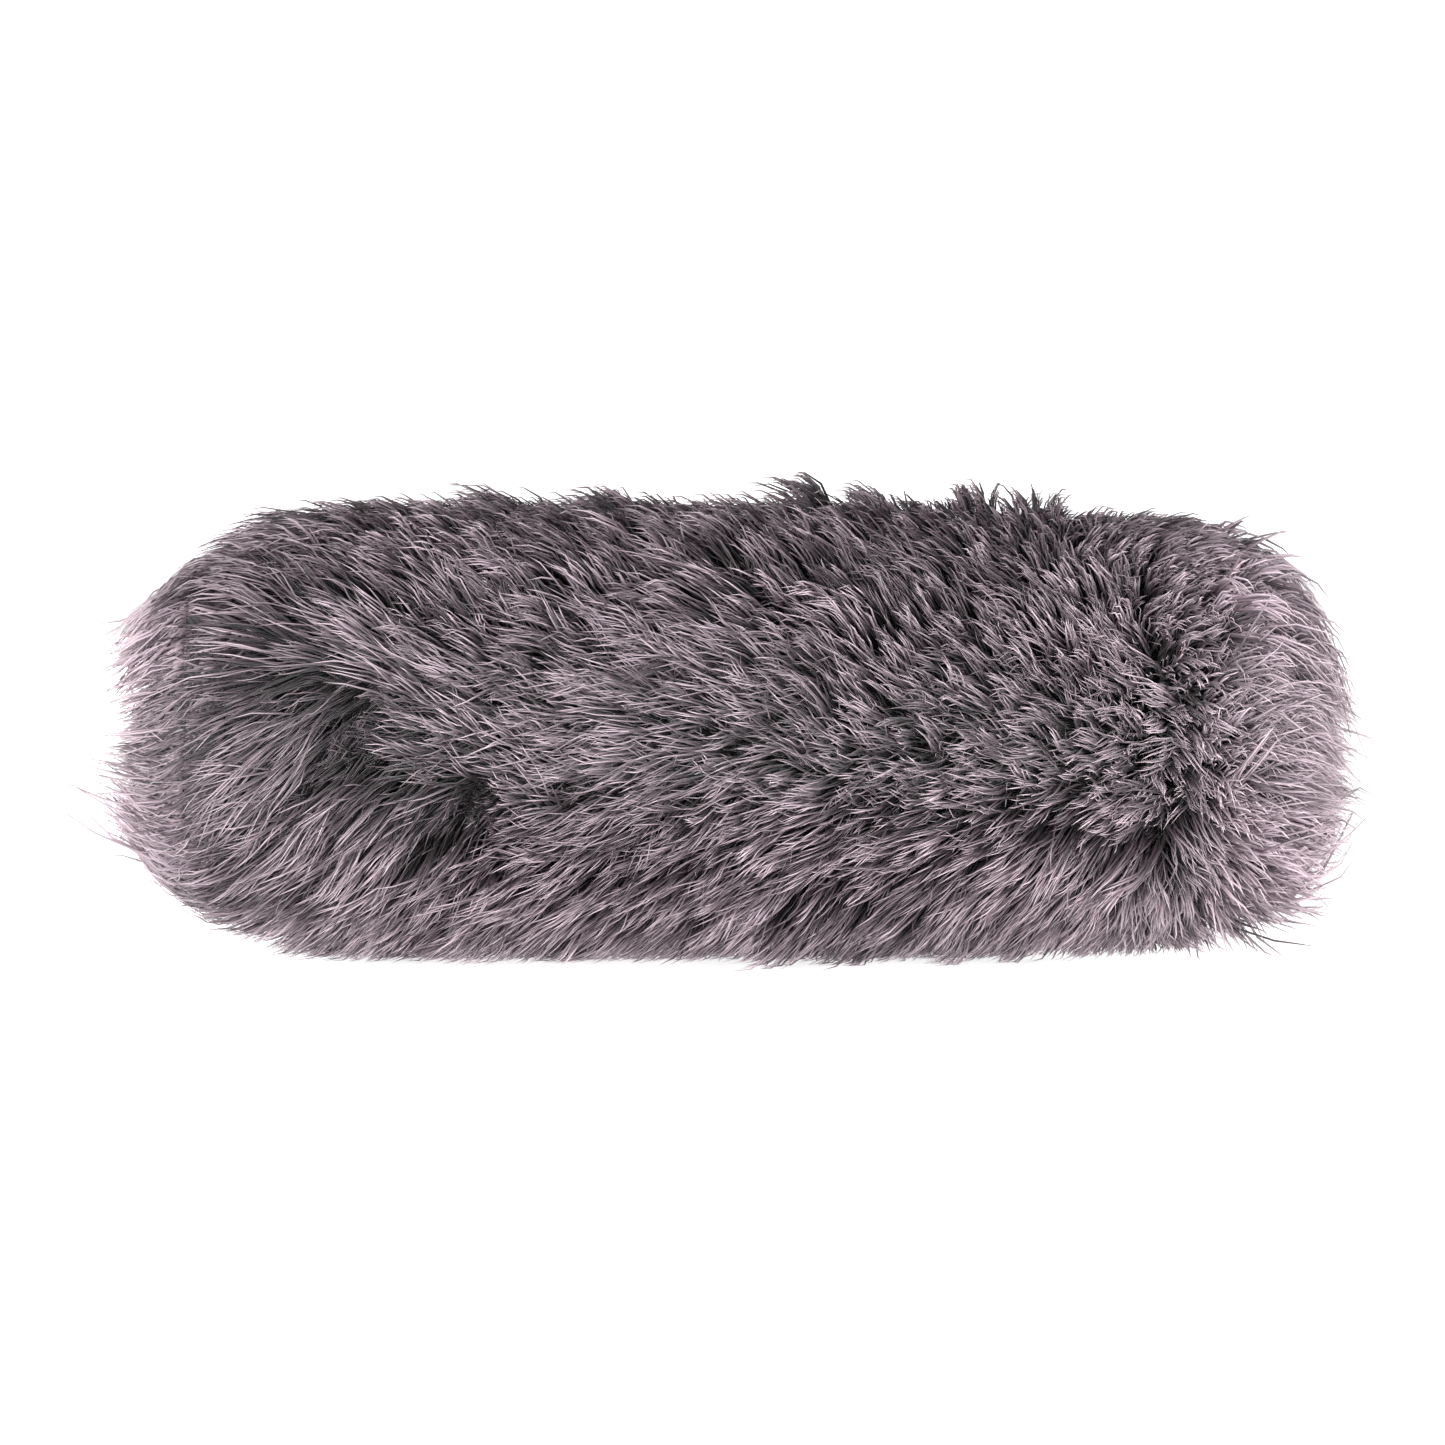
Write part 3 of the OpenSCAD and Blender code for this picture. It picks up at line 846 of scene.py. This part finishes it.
def nose_spines(pile, tilt, heights, under):
    """Spines of the nose panel's pile, which fans out from its middle.

    tilt is the skin's, from facing ahead.
    """
    fur, rng = pile.fur, pile.rng
    t = heights[None, :]
    share = pile.r / r_backing
    lean = (np.radians(6 + 28 * share ** 1.5) + 0.32 * tilt + pile.spread(0.08, 0.18, 0.08))[:, None]
    length = (1.25 * fur.length * (1 - 0.4 * under) * np.exp(pile.spread(0.10, 0.20, 0.05)))[:, None]
    swirl = pile.spread(0.05, 0.10, 0.08)[:, None] * t * length
    to_clump = pull_home(pile, t, fur.clumping * (1 - 0.55 * under), 1.15)
    wave = pile.waves()
    x = pile.x[:, None] + length * np.cos(lean) * (1 - (1 - t) ** 1.2) + to_clump[0]
    r = pile.r[:, None] + length * np.sin(lean) * t ** 1.1
    r = r + to_clump[2] + fur.wave * t * np.sin(wave[0] + 5 * t)
    r = pressed(x, r, rng.uniform(0.2, 0.8, len(pile.clumps))[pile.clump, None])
    whorl = (0.3 + pile.spread(0, 0.1, 0.1))[:, None] * t
    points = from_axis(x, r, pile.angle[:, None] + whorl + to_clump[1] * (share[:, None] > 0.15))
    phase = rng.uniform(0, 2 * math.pi, (2, len(pile.x), 1))
    crimp = (0.3 + 0.35 * under) * MM * np.sqrt(t)
    aside = swirl + fur.wave * t * np.sin(wave[1] + 5 * t) + crimp * np.sin(phase[0] + 7 * t)
    points[..., 1] += aside * np.sin(pile.angle)[:, None]
    points[..., 2] += aside * np.cos(pile.angle)[:, None] + crimp * np.sin(phase[1] + 6 * t)
    # On the side that faces front the brush has drawn the nose's pile down a little.
    drop = 6 + 4 * share * np.abs(np.cos(pile.angle)) + 2 * np.maximum(np.sin(pile.angle), 0)
    points[..., 2] -= drop[:, None] * MM * t ** 2
    limit = 0.86 + 0.065 * rng.exponential(size=len(pile.x)) + pile.spread(0, 0.02, 0.01)
    return lifted(trimmed(points, limit))


def rear_spines(pile, heights, under):
    """Spines of the pile round the rear opening: straight back, then closing in on the microphone."""
    fur, rng = pile.fur, pile.rng
    t = heights[None, :]
    inner, outer = pile.r.min(), pile.r.max()
    share = ((pile.r - inner) / (outer - inner))[:, None]
    # A few pale hairs reach well past the others.
    stray = rng.uniform(0, 1, len(pile.x)) < 0.07
    length = 0.84 * fur.length * (1 - 0.35 * under) * (1 + 0.4 * stray)
    length = (length * np.exp(pile.spread(0.18, 0.12, 0.04)))[:, None]
    close = (0.3 + 0.25 * share + pile.spread(0.08, 0.07, 0.0)[:, None]) * length
    to_clump = pull_home(pile, t, 0.6 * fur.clumping, 1.3)
    x = pile.x[:, None] - length * (t - 0.1 * t ** 2)
    r = pile.r[:, None] - close * np.clip((t - 0.25) / 0.75, 0, 1) ** 1.5 + to_clump[2]
    phase = rng.uniform(0, 2 * math.pi, (len(pile.x), 1))
    crimp = 0.35 * MM * np.sqrt(t) * np.sin(phase + 7 * t)
    angle = pile.angle[:, None] + to_clump[1] + crimp / pile.r[:, None]
    beside_boot = x > span("mic_boot")[0] - 1.5 * MM
    r = np.clip(r + crimp, np.where(beside_boot, inner, 4 * MM), r_backing - BACKING - 0.5 * MM)
    points = trimmed(from_axis(x, r, angle), 0.8 + 0.08 * rng.exponential(size=len(pile.x)) + 0.2 * stray)
    points[..., 2] -= 1.0 * MM * t ** 2
    return points


def metres(name, description, default, **limits):
    """A setting in metres."""
    return FloatProperty(name=name, description=description, default=default, unit="LENGTH", **limits)


def number(name, description, default, **limits):
    """A setting that is a plain number."""
    return FloatProperty(name=name, description=description, default=default, **limits)


def whole(name, description, default):
    """A setting that is a whole number."""
    return IntProperty(name=name, description=description, default=default, min=1)


def hex_colour(name, default):
    """A setting that is a colour."""
    return StringProperty(name=name, description="sRGB hex value", default=default)


class FurSettings(bpy.types.PropertyGroup):
    """Sizes and colours of the pile."""

    length: metres("Pile length", "Length of a guard hair", 22 * MM, min=15 * MM, max=40 * MM)
    lie_angle: number("Lie", "Angle between the hair and the skin, in degrees", 42.0, min=20.0, max=70.0)
    guard_width: metres("Guard hair radius", "Radius of a guard hair", 0.34 * MM)
    under_width: metres("Underfur radius", "Radius of an underfur hair", 0.22 * MM)
    clump_spacing: metres("Clump spacing", "Distance between clumps", 2.1 * MM)
    tuft_spacing: metres("Tuft spacing", "Distance between tufts of clumps", 8 * MM)
    clumping: number("Clumping", "How far tips gather in a clump", 0.88)
    wave: metres("Wave", "How far a clump waves to each side", 1.0 * MM)
    body_guard: whole("Body guard hairs", "Guard hairs on the jacket's body", 38000)
    body_under: whole("Body underfur", "Underfur hairs on the jacket's body", 27000)
    nose_guard: whole("Nose guard hairs", "Guard hairs on the nose panel", 8500)
    nose_under: whole("Nose underfur", "Underfur hairs on the nose panel", 5000)
    rear_guard: whole("Rear guard hairs", "Guard hairs round the opening", 4500)
    rear_under: whole("Rear underfur", "Underfur hairs round the opening", 2500)
    bands: whole("Bands", "Pieces that the body's pile is divided into", 8)
    root_colour: hex_colour("Root colour", "120d10")
    dark_colour: hex_colour("Dark colour", "3d3038")
    mid_colour: hex_colour("Middle colour", "7b6a73")
    light_colour: hex_colour("Light colour", "cab7c1")
    tip_colour: hex_colour("Tip colour", "eed9df")


class SoftSettings(bpy.types.PropertyGroup):
    """Sizes of the soft pieces under the fur."""

    foam_cell: metres("Foam cell", "Size of a cell of the foam", 1.4 * MM)
    foam_depth: metres("Foam roughness", "Depth of the foam's open cells", 0.5 * MM)
    gathers: whole("Gathers", "Gathers round the elastic hem", 38)
    stitch: metres("Stitch", "Length of one stitch", 3 * MM)


class StageSettings(bpy.types.PropertyGroup):
    """The camera, the floor and its low wall."""

    width: metres("View width", "Width of the view at the object", 283 * MM)
    lens: number("Lens", "Focal length in millimetres", 100.0)
    sweep: metres("Sweep", "Radius of the paper floor", 3.4)
    wall: metres("Wall", "Height that the paper rises to all round", 0.85)
    foot: metres("Foot", "Size of the rounding between the floor and the wall", 0.4)
    elevation: number("Elevation", "Camera height above the horizon, in degrees", 4.0)
    aim: FloatVectorProperty(name="Aim", description="Point that the camera looks at",
                             default=(0.8 * MM, 0.0, 47 * MM), unit="LENGTH")


class WINDSCREEN_OT_body_pile(bpy.types.Operator):
    """Plant the long pile of the jacket's body"""

    bl_idname = "windscreen.body_pile"
    bl_label = "Body pile"

    def execute(self, context):
        fur = context.scene.windscreen_fur
        coat = bpy.data.materials["modacrylic pile"]
        parts = [[] for _ in range(fur.bands)]
        for under, count, spike in hair_kinds(fur.body_guard, fur.body_under):
            rng = np.random.default_rng(11 + under)
            # The pile is set closer at the mouth and at the parting near the nose, where more of it shows.
            places = np.linspace(x_mouth + 0.6 * MM, x_seam - 0.3 * MM, 200)
            density = 1 + 1.2 * np.exp(-((places - x_mouth) / (10 * MM)) ** 2)
            density += 0.9 * np.exp(-((places - 84 * MM) / (12 * MM)) ** 2)
            grown = np.cumsum(density) / density.sum()
            x = np.interp(rng.uniform(0, 1, count), grown, places)
            r = np.where(x < x_hem_end + 0.2 * MM, r_hem + 0.05 * MM, r_backing + 0.05 * MM)
            angle = rng.uniform(-math.pi, math.pi, count)
            area = 2 * math.pi * r_backing * (x_seam - x_mouth)
            pile = Pile(fur, x, r, angle, area, 21 + under)
            spines, hidden = body_spines(pile, spike.heights, under)
            width = pile.width(under)
            # Painted shade: underfur is painted darker, as shade under the guard hair, and hairs cut short
            # in a parting much darker, as the parting's shade.
            shade = pile.shade(-0.12 * under - 0.6 * hidden)
            # Painted light: towards the mouth and the nose the hairs are painted paler from the root up, for
            # thin hair glowing against the light.
            paler = 0.5 * np.clip((-84 * MM - x) / (12 * MM), 0, 1)
            paler += 0.25 * np.clip((x - 50 * MM) / (30 * MM), 0, 1)
            order = np.argsort(x)
            for band, chosen in enumerate(np.array_split(order, fur.bands)):
                parts[band].append(
                    planted(spike, spines[chosen], width[chosen], shade[chosen], paler[chosen]))
        for band, pieces in enumerate(parts):
            piece = joined(f"body_pile_band_{band + 1}", *pieces)
            finish_piece(piece, coat, "fur_jacket", "fur", "jacket_body_pile")
        return {"FINISHED"}


def nose_roots(rng, count):
    """Roots over the nose panel: its flat middle, its rounded edge and its short wall."""
    flat, arc = r_backing - NOSE_EDGE, NOSE_EDGE * math.pi / 2
    wall = x_panel - NOSE_EDGE - x_seam
    along = np.linspace(0, flat + arc + wall, 300)
    # The edge is set closer, because the pile parts there.
    grown = np.cumsum(np.minimum(along, r_backing) * (1 + 0.7 * (along > flat)))
    place = np.interp(rng.uniform(0, 1, count), grown / grown[-1], along)
    tilt = np.clip((place - flat) / NOSE_EDGE, 0, math.pi / 2)
    r = np.minimum(place, flat) + NOSE_EDGE * np.sin(tilt)
    x = x_panel - NOSE_EDGE * (1 - np.cos(tilt)) - np.maximum(place - flat - arc, 0)
    return x, r, tilt


class WINDSCREEN_OT_nose_pile(bpy.types.Operator):
    """Plant the pile of the nose panel"""

    bl_idname = "windscreen.nose_pile"
    bl_label = "Nose pile"

    def execute(self, context):
        fur = context.scene.windscreen_fur
        coat = bpy.data.materials["modacrylic pile"]
        halves = ([], [])
        for under, count, spike in hair_kinds(fur.nose_guard, fur.nose_under):
            rng = np.random.default_rng(31 + under)
            x, r, tilt = nose_roots(rng, count)
            angle = rng.uniform(-math.pi, math.pi, count)
            pile = Pile(fur, x, r, angle, NOSE_AREA, 41 + under)
            spines = nose_spines(pile, tilt, spike.heights, under)
            width = 1.15 * pile.width(under)
            # Painted light: the nose's pile is painted paler, for the glow of its thin tips against the
            # light; its underfur is painted darker, as shade under the guard hair.
            shade = pile.shade(0.26 - 0.12 * under)
            front = np.cos(pile.angle) > 0
            for half, chosen in enumerate((front, ~front)):
                halves[half].append(planted(spike, spines[chosen], width[chosen], shade[chosen], 0.35))
        for side, pieces in zip(("right", "left"), halves):
            piece = joined(f"nose_pile_{side}", *pieces)
            finish_piece(piece, coat, "fur_jacket", "fur", "jacket_nose_pile")
        return {"FINISHED"}


class WINDSCREEN_OT_rear_pile(bpy.types.Operator):
    """Plant the pile round the rear opening"""

    bl_idname = "windscreen.rear_pile"
    bl_label = "Rear pile"

    def execute(self, context):
        fur = context.scene.windscreen_fur
        coat = bpy.data.materials["modacrylic pile"]
        low = radius("collar_ring") + 1.0 * MM
        high = r_backing - BACKING - 0.8 * MM
        pieces = []
        for under, count, spike in hair_kinds(fur.rear_guard, fur.rear_under):
            rng = np.random.default_rng(51 + under)
            r = np.sqrt(rng.uniform(low ** 2, high ** 2, count))
            angle = rng.uniform(-math.pi, math.pi, count)
            pile = Pile(fur, np.full(count, x_ring), r, angle, math.pi * (high ** 2 - low ** 2), 61 + under)
            spines = rear_spines(pile, spike.heights, under)
            width = pile.width(under)
            # Painted light: the rear pile is painted paler, for its thin tips glowing against the light; its
            # underfur is painted darker, as shade under the guard hair.
            pieces.append(planted(spike, spines, width, pile.shade(0.2 - 0.12 * under), 0.6))
        piece = joined("rear_pile_ring", *pieces)
        finish_piece(piece, coat, "core", "fur", "rear_fur_pile")
        return {"FINISHED"}


class WINDSCREEN_OT_materials(bpy.types.Operator):
    """Make the materials, and finish the hard pieces"""

    bl_idname = "windscreen.materials"
    bl_label = "Materials"

    def execute(self, context):
        pile_acrylic(context.scene.windscreen_fur)
        knitted_polyester()
        open_cell_foam()
        woven_tape()
        braided_elastic()
        sewing_thread()
        frame_nylon = moulded_nylon("frame nylon", "262729", "303134", 0.18 * MM, 0.5)
        cage_nylon = moulded_nylon("cage nylon", "333437", "3f4043", 0.22 * MM, 0.6)
        collar_nylon = moulded_nylon("collar nylon", "19191b", "232326", 0.14 * MM, 0.42)
        rubber, mesh, zinc = silicone_rubber(), woven_mesh(), zinc_steel()
        finishes = {
            "rear_frame": frame_nylon, "nose_frame": frame_nylon, "boot_clamp_plate": frame_nylon,
            "cage_left_half": cage_nylon, "cage_right_half": cage_nylon, "collar_ring": collar_nylon,
            "collar_seal": rubber, "mic_boot": rubber, "mesh_liner": mesh, "nose_mesh": mesh,
            "rear_screws": zinc, "nose_screws": zinc, "clamp_screws": zinc,
        }
        for name, coat in finishes.items():
            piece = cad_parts[name]
            piece.data.materials.clear()
            piece.data.materials.append(coat)
        return {"FINISHED"}


def cellular(piece, soft, seed):
    """Opens the foam's cells in the piece's surface."""
    cells = bpy.data.textures.new(f"cells {seed}", "VORONOI")
    cells.noise_scale, cells.distance_metric = soft.foam_cell, "DISTANCE"
    open_cells = piece.modifiers.new("Cells", "DISPLACE")
    open_cells.texture, open_cells.strength, open_cells.mid_level = cells, soft.foam_depth, 1.0
    open_cells.texture_coords = "LOCAL"
    return apply_all(piece)


class WINDSCREEN_OT_foam(bpy.types.Operator):
    """Cut the foam sleeve, the nose disc and the tip stop"""

    bl_idname = "windscreen.foam"
    bl_label = "Foam"

    def execute(self, context):
        soft = context.scene.windscreen_soft
        coat = bpy.data.materials["reticulated foam"]
        x0, x1 = span("foam_sleeve")
        wall = r_foam - inner_radius("foam_sleeve")
        sleeve = tube_along_axis("foam_sleeve_cut", x0, x1, r_foam, 190, 180)
        sleeve = thicken(recalculate(cellular(sleeve, soft, 1)), wall)
        finish_piece(smooth(sleeve, 60), coat, "core", "foam", "foam_sleeve")
        for name, node, edge, insets in (
            ("foam_nose_pad", "foam_nose_disc", 4.5 * MM, 11),
            ("foam_tip_plug", "tip_foam_stop", 0.8 * MM, 4),
        ):
            x0, x1 = span(node)
            pad = cylinder_along_axis(name, x0, x1, radius(node), 96)
            with edit_mode():
                pick(pad, lambda middle, normal: normal.x > 0.9)
                bpy.ops.mesh.bevel(offset=edge, segments=5)
                rim = radius(node) - edge
                pick(pad, lambda middle, normal: normal.x > 0.99)
                for step in range(insets):
                    bpy.ops.mesh.inset(thickness=rim / (insets + 1))
            finer = pad.modifiers.new("Finer", "SUBSURF")
            finer.subdivision_type, finer.levels, finer.render_levels = "SIMPLE", 2, 2
            cellular(pad, soft, 2)
            finish_piece(smooth(pad, 60), coat, "core", "foam", node)
        return {"FINISHED"}


def stitches(name, places, headings, length):
    """A row of stitches: one small capsule modelled once and copied to each place and heading."""
    deselect()
    bpy.ops.mesh.primitive_uv_sphere_add(segments=6, ring_count=5, radius=0.5)
    one = fresh("stitch")
    points = coordinates(one) * (length, 0.5 * MM, 0.5 * MM)
    faces = [tuple(face.vertices) for face in one.data.polygons]
    bpy.data.objects.remove(one, do_unlink=True)
    mesh, vertices, polygons = bpy.data.meshes.new(name), [], []
    for place, heading in zip(places, headings):
        out = Vector((0, place[1], place[2] - axis_z)).normalized()
        turn = Matrix((heading, out.cross(heading), out)).transposed()
        polygons += [tuple(len(vertices) + i for i in face) for face in faces]
        vertices += [tuple(Vector(place) + turn @ Vector(point)) for point in points]
    mesh.from_pydata(vertices, [], polygons)
    return smooth(linked(name, mesh), 80)


def puckered(piece, per_turn, depth, x0, x1):
    """Draws cloth in between its stitches, most in the middle of its width."""
    x, r, angle = polar(piece)
    middle = np.clip(np.sin(math.pi * (x - x0) / (x1 - x0)), 0, 1)
    set_polar(piece, x, r - depth * (0.5 + 0.5 * np.cos(per_turn * angle)) * middle, angle)


class WINDSCREEN_OT_backing(bpy.types.Operator):
    """Cut the knitted backing of the jacket, its nose panel and the rear ring"""

    bl_idname = "windscreen.backing"
    bl_label = "Knitted backing"

    def execute(self, context):
        knit = bpy.data.materials["knitted polyester"]
        tube = tube_along_axis("jacket_knit", x_mouth, x_seam, r_backing, 144, 96)
        wrap_uv(tube, x_mouth)
        thicken(tube, BACKING)
        x, r, angle = polar(tube)
        along = (x - x_mouth) / (x_seam - x_mouth)
        sag = 0.12 * MM * np.sin(9 * angle + 14 * along) * np.sin(math.pi * along)
        # The outer face is drawn in a little, which leaves room for the pile's roots.
        set_polar(tube, x, r - 0.15 * MM * (r > r_backing - 0.5 * MM) + sag, angle)
        finish_piece(smooth(tube), knit, "fur_jacket", "knit_backing", "jacket_body_backing")

        x0, x1 = span("jacket_nose_backing")
        cap = cylinder_along_axis("nose_knit", x0, x1, r_backing, 144)
        with edit_mode():
            pick(cap, lambda middle, normal: normal.x < -0.9)
            bpy.ops.mesh.delete(type="FACE")
            pick(cap, lambda middle, edge: abs(middle.x - x1) < 1e-6, "edges")
            bpy.ops.mesh.bevel(offset=NOSE_EDGE - 0.1 * MM, segments=8)
            pick(cap, lambda middle, normal: normal.x > 0.999)
            for step in range(6):
                bpy.ops.mesh.inset(thickness=3.6 * MM)
        wrap_uv(cap, x0)
        cap = smooth(thicken(cap, BACKING))
        finish_piece(cap, knit, "fur_jacket", "knit_backing", "jacket_nose_backing")

        x0, x1 = span("rear_fur_backing")
        outer, inner = radius("rear_fur_backing"), inner_radius("rear_fur_backing")
        ring = tube_along_axis("rear_knit", x0, x1, outer, 144, 6)
        # The tube is drawn flat, its far edge in to the ring's inner edge.
        x, r, angle = polar(ring)
        set_polar(ring, np.full(len(x), x0), outer + (inner - outer) * (x - x0) / (x1 - x0), angle)
        wrap_uv(ring, x0)
        thicken(ring, x1 - x0, -1 if ring.data.polygons[0].normal.x < 0 else 1)
        finish_piece(smooth(ring), knit, "core", "knit_backing", "rear_fur_backing")
        return {"FINISHED"}


class WINDSCREEN_OT_seams(bpy.types.Operator):
    """Sew the nose seam, the belly tape and the elastic hem"""

    bl_idname = "windscreen.seams"
    bl_label = "Seams and hem"

    def execute(self, context):
        soft = context.scene.windscreen_soft
        twill, thread = bpy.data.materials["twill tape"], bpy.data.materials["spun thread"]
        x0, x1 = span("nose_seam_binding")
        r = radius("nose_seam_binding")
        band = tube_along_axis("nose_seam_tape", x0, x1, r, 288, 10)
        wrap_uv(band, x0)
        puckered(band, 72, 0.18 * MM, x0, x1)
        thicken(band, 0.4 * MM)
        finish_piece(smooth(band), twill, "fur_jacket", "binding_tape", "nose_seam_binding")
        count = 64
        turns = 2 * math.pi * (np.arange(count) + 0.5) / count
        places = from_axis(np.full(count, (x0 + x1) / 2 - 0.8 * MM), r + STITCH_PROUD, turns)
        headings = [Vector((0.25, math.sin(a), math.cos(a))).normalized() for a in turns]
        row = stitches("nose_seam_stitches", places, headings, soft.stitch * 0.85)
        finish_piece(row, thread, "fur_jacket", "binding_tape")

        x0, x1 = span("belly_seam_tape")
        r = radius_of_arc("belly_seam_tape")
        half, row_turn = math.radians(7.5), math.radians(5.3)
        tape = tube_along_axis("belly_tape", x0, x1, r, 384, 60)
        with edit_mode():
            low = axis_z - r * math.cos(half + 0.002)
            pick(tape, lambda middle, normal: middle.z > low)
            bpy.ops.mesh.delete(type="FACE")
        wrap_uv(tape, x0)
        thicken(tape, 0.5 * MM)
        finish_piece(smooth(tape), twill, "fur_jacket", "binding_tape", "belly_seam_tape")
        count = int((x1 - x0) / soft.stitch) - 1
        along = x0 + soft.stitch * (np.arange(count) + 1)
        # Two rows run on either side of the seam, straight down from the axis.
        down = -math.pi / 2
        rows = [from_axis(along, np.full(count, r + STITCH_PROUD), np.full(count, side * row_turn + down))
                for side in (-1, 1)]
        headings = [Vector((1, 0, 0))] * 2 * count
        row = stitches("belly_tape_stitches", np.concatenate(rows), headings, soft.stitch * 0.8)
        finish_piece(row, thread, "fur_jacket", "binding_tape")

        x0, x1 = span("hem_casing")
        inner = inner_radius("hem_casing")
        mid_r, mid_x = (inner + r_hem) / 2, (x0 + x1) / 2
        deselect()
        bpy.ops.mesh.primitive_torus_add(
            major_segments=8 * soft.gathers, minor_segments=28, major_radius=mid_r, minor_radius=1 * MM,
            location=(mid_x, 0, axis_z), rotation=(0, math.pi / 2, 0),
        )
        casing = settle(fresh("gathered_hem"))
        x, r, angle = polar(casing)
        across, up = (x - mid_x) / MM, (r - mid_r) / MM
        # The round section is squared off to fill the casing's, and its outside gathers over the elastic.
        square = np.maximum(np.abs(across), np.abs(up)) ** 0.75
        across, up = across / np.maximum(square, 1e-6), up / np.maximum(square, 1e-6)
        across, up = np.clip(across, -1, 1), np.clip(up, -1, 1)
        gather = 0.5 + 0.5 * np.cos(soft.gathers * angle + 0.7 * np.sin(5 * angle))
        gathered = 1 - 0.45 * gather * (1 - 0.3 * np.abs(across))
        high = np.where(up > 0, (r_hem - mid_r) * gathered, mid_r - inner)
        wide = (x1 - x0) / 2 * (1 - 0.06 * gather)
        set_polar(casing, mid_x + across * wide, mid_r + up * high, angle)
        wrap_uv(casing, x0)
        finish_piece(smooth(casing, 70), twill, "fur_jacket", "binding_tape", "hem_casing")

        x0, x1 = span("hem_elastic")
        band = tube_along_axis("braided_band", x0, x1, radius("hem_elastic"), 144, 24)
        wrap_uv(band, x0)
        x, r, angle = polar(band)
        # Eight raised cords run round the band.
        cords = 0.1 * MM * np.cos(8 * 2 * math.pi * (x - x0) / (x1 - x0))
        set_polar(band, x, r - 0.1 * MM + cords, angle)
        thicken(band, 0.8 * MM)
        braid = bpy.data.materials["braided elastic"]
        finish_piece(smooth(band), braid, "fur_jacket", "elastic", "hem_elastic")
        return {"FINISHED"}


class WINDSCREEN_OT_cloth_facts(bpy.types.Operator):
    """Read the rear ring's outer and inner radii, and nothing more"""

    bl_idname = "windscreen.cloth_facts"
    bl_label = "Cloth facts"

    def execute(self, context):
        outer, inner = radius("rear_fur_backing"), inner_radius("rear_fur_backing")
        return {"FINISHED"}


class WINDSCREEN_OT_stage(bpy.types.Operator):
    """Set the floor, the backdrop, the lights and the camera"""

    bl_idname = "windscreen.stage"
    bl_label = "Stage"

    def execute(self, context):
        stage = context.scene.windscreen_stage
        paper = new_material(
            "white paper", Roughness=0.9, Specular_IOR_Level=0.1, Emission_Strength=0.8,
            Emission_Color=(1, 1, 1, 1), Base_Color=(0.94, 0.94, 0.94, 1))[0]
        deselect()
        bpy.ops.mesh.primitive_cylinder_add(
            vertices=96, radius=stage.sweep, depth=stage.wall, end_fill_type="NGON",
            location=(0, 0, stage.wall / 2))
        floor = settle(fresh("paper_floor"))
        # A drum without its lid, rounded where the paper rises, and seen from inside.
        with edit_mode():
            pick(floor, lambda middle, normal: normal.z > 0.5)
            bpy.ops.mesh.delete(type="ONLY_FACE")
            pick(floor, lambda middle, edge: middle.z < 0.01, "edges")
            bpy.ops.mesh.bevel(offset=stage.foot, segments=8)
            bpy.ops.mesh.select_all(action="SELECT")
            bpy.ops.mesh.flip_normals()
        floor.data.materials.append(paper)
        smooth(floor, 60)
        world = bpy.data.worlds.new("softbox room")
        context.scene.world = world
        world.use_nodes = True
        air = world.node_tree.nodes["Background"].inputs
        air["Color"].default_value, air["Strength"].default_value = (1, 1, 1, 1), 0.1
        for name, place, size, power in (
            ("top softbox", (0.0, -0.5, 1.2), 0.8, 0.3),
            ("front left softbox", (-0.7, -1.2, 0.2), 0.35, 19.0),
            ("front right softbox", (0.9, -1.0, 0.12), 0.4, 17.0),
            ("back softbox", (-0.5, 1.2, 0.3), 0.5, 14.0),
        ):
            deselect()
            bpy.ops.object.light_add(type="AREA", location=place)
            lamp = bpy.context.object
            lamp.name = name
            lamp.data.size, lamp.data.energy = size, power
            toward = Vector((0, 0, axis_z)) - Vector(place)
            lamp.rotation_euler = toward.to_track_quat("-Z", "Y").to_euler()
        aim = Vector(stage.aim)
        away = stage.width / (36 / stage.lens)
        rise = math.radians(stage.elevation)
        place = aim + away * Vector((0, -math.cos(rise), math.sin(rise)))
        bpy.ops.object.camera_add(location=place, rotation=(math.pi / 2 - rise, 0, 0))
        camera = bpy.context.object
        camera.data.lens, camera.data.sensor_width = stage.lens, 36
        camera.data.clip_start, camera.data.clip_end = 0.05, 20
        context.scene.camera = camera
        context.scene.view_settings.view_transform = "Standard"
        return {"FINISHED"}


class WINDSCREEN_PT_panel(bpy.types.Panel):
    """The windscreen's operators"""

    bl_idname = "WINDSCREEN_PT_panel"
    bl_label = "Furry windscreen"
    bl_space_type = "VIEW_3D"
    bl_region_type = "UI"
    bl_category = "Windscreen"

    def draw(self, context):
        for operator in OPERATORS:
            self.layout.operator(operator.bl_idname)


OPERATORS = (
    WINDSCREEN_OT_materials, WINDSCREEN_OT_foam, WINDSCREEN_OT_backing, WINDSCREEN_OT_seams,
    WINDSCREEN_OT_body_pile, WINDSCREEN_OT_nose_pile, WINDSCREEN_OT_rear_pile, WINDSCREEN_OT_cloth_facts,
    WINDSCREEN_OT_stage,
)
SETTINGS = {
    "windscreen_fur": FurSettings, "windscreen_soft": SoftSettings, "windscreen_stage": StageSettings,
}


def register():
    for made in (*SETTINGS.values(), *OPERATORS, WINDSCREEN_PT_panel):
        bpy.utils.register_class(made)
    for name, group in SETTINGS.items():
        setattr(bpy.types.Scene, name, PointerProperty(type=group))


def unregister():
    for name in SETTINGS:
        delattr(bpy.types.Scene, name)
    for made in reversed((*SETTINGS.values(), *OPERATORS, WINDSCREEN_PT_panel)):
        bpy.utils.unregister_class(made)


def main():
    register()
    for operator in OPERATORS:
        getattr(bpy.ops.windscreen, operator.bl_idname.split(".")[1])()


if __name__ == "__main__":
    main()
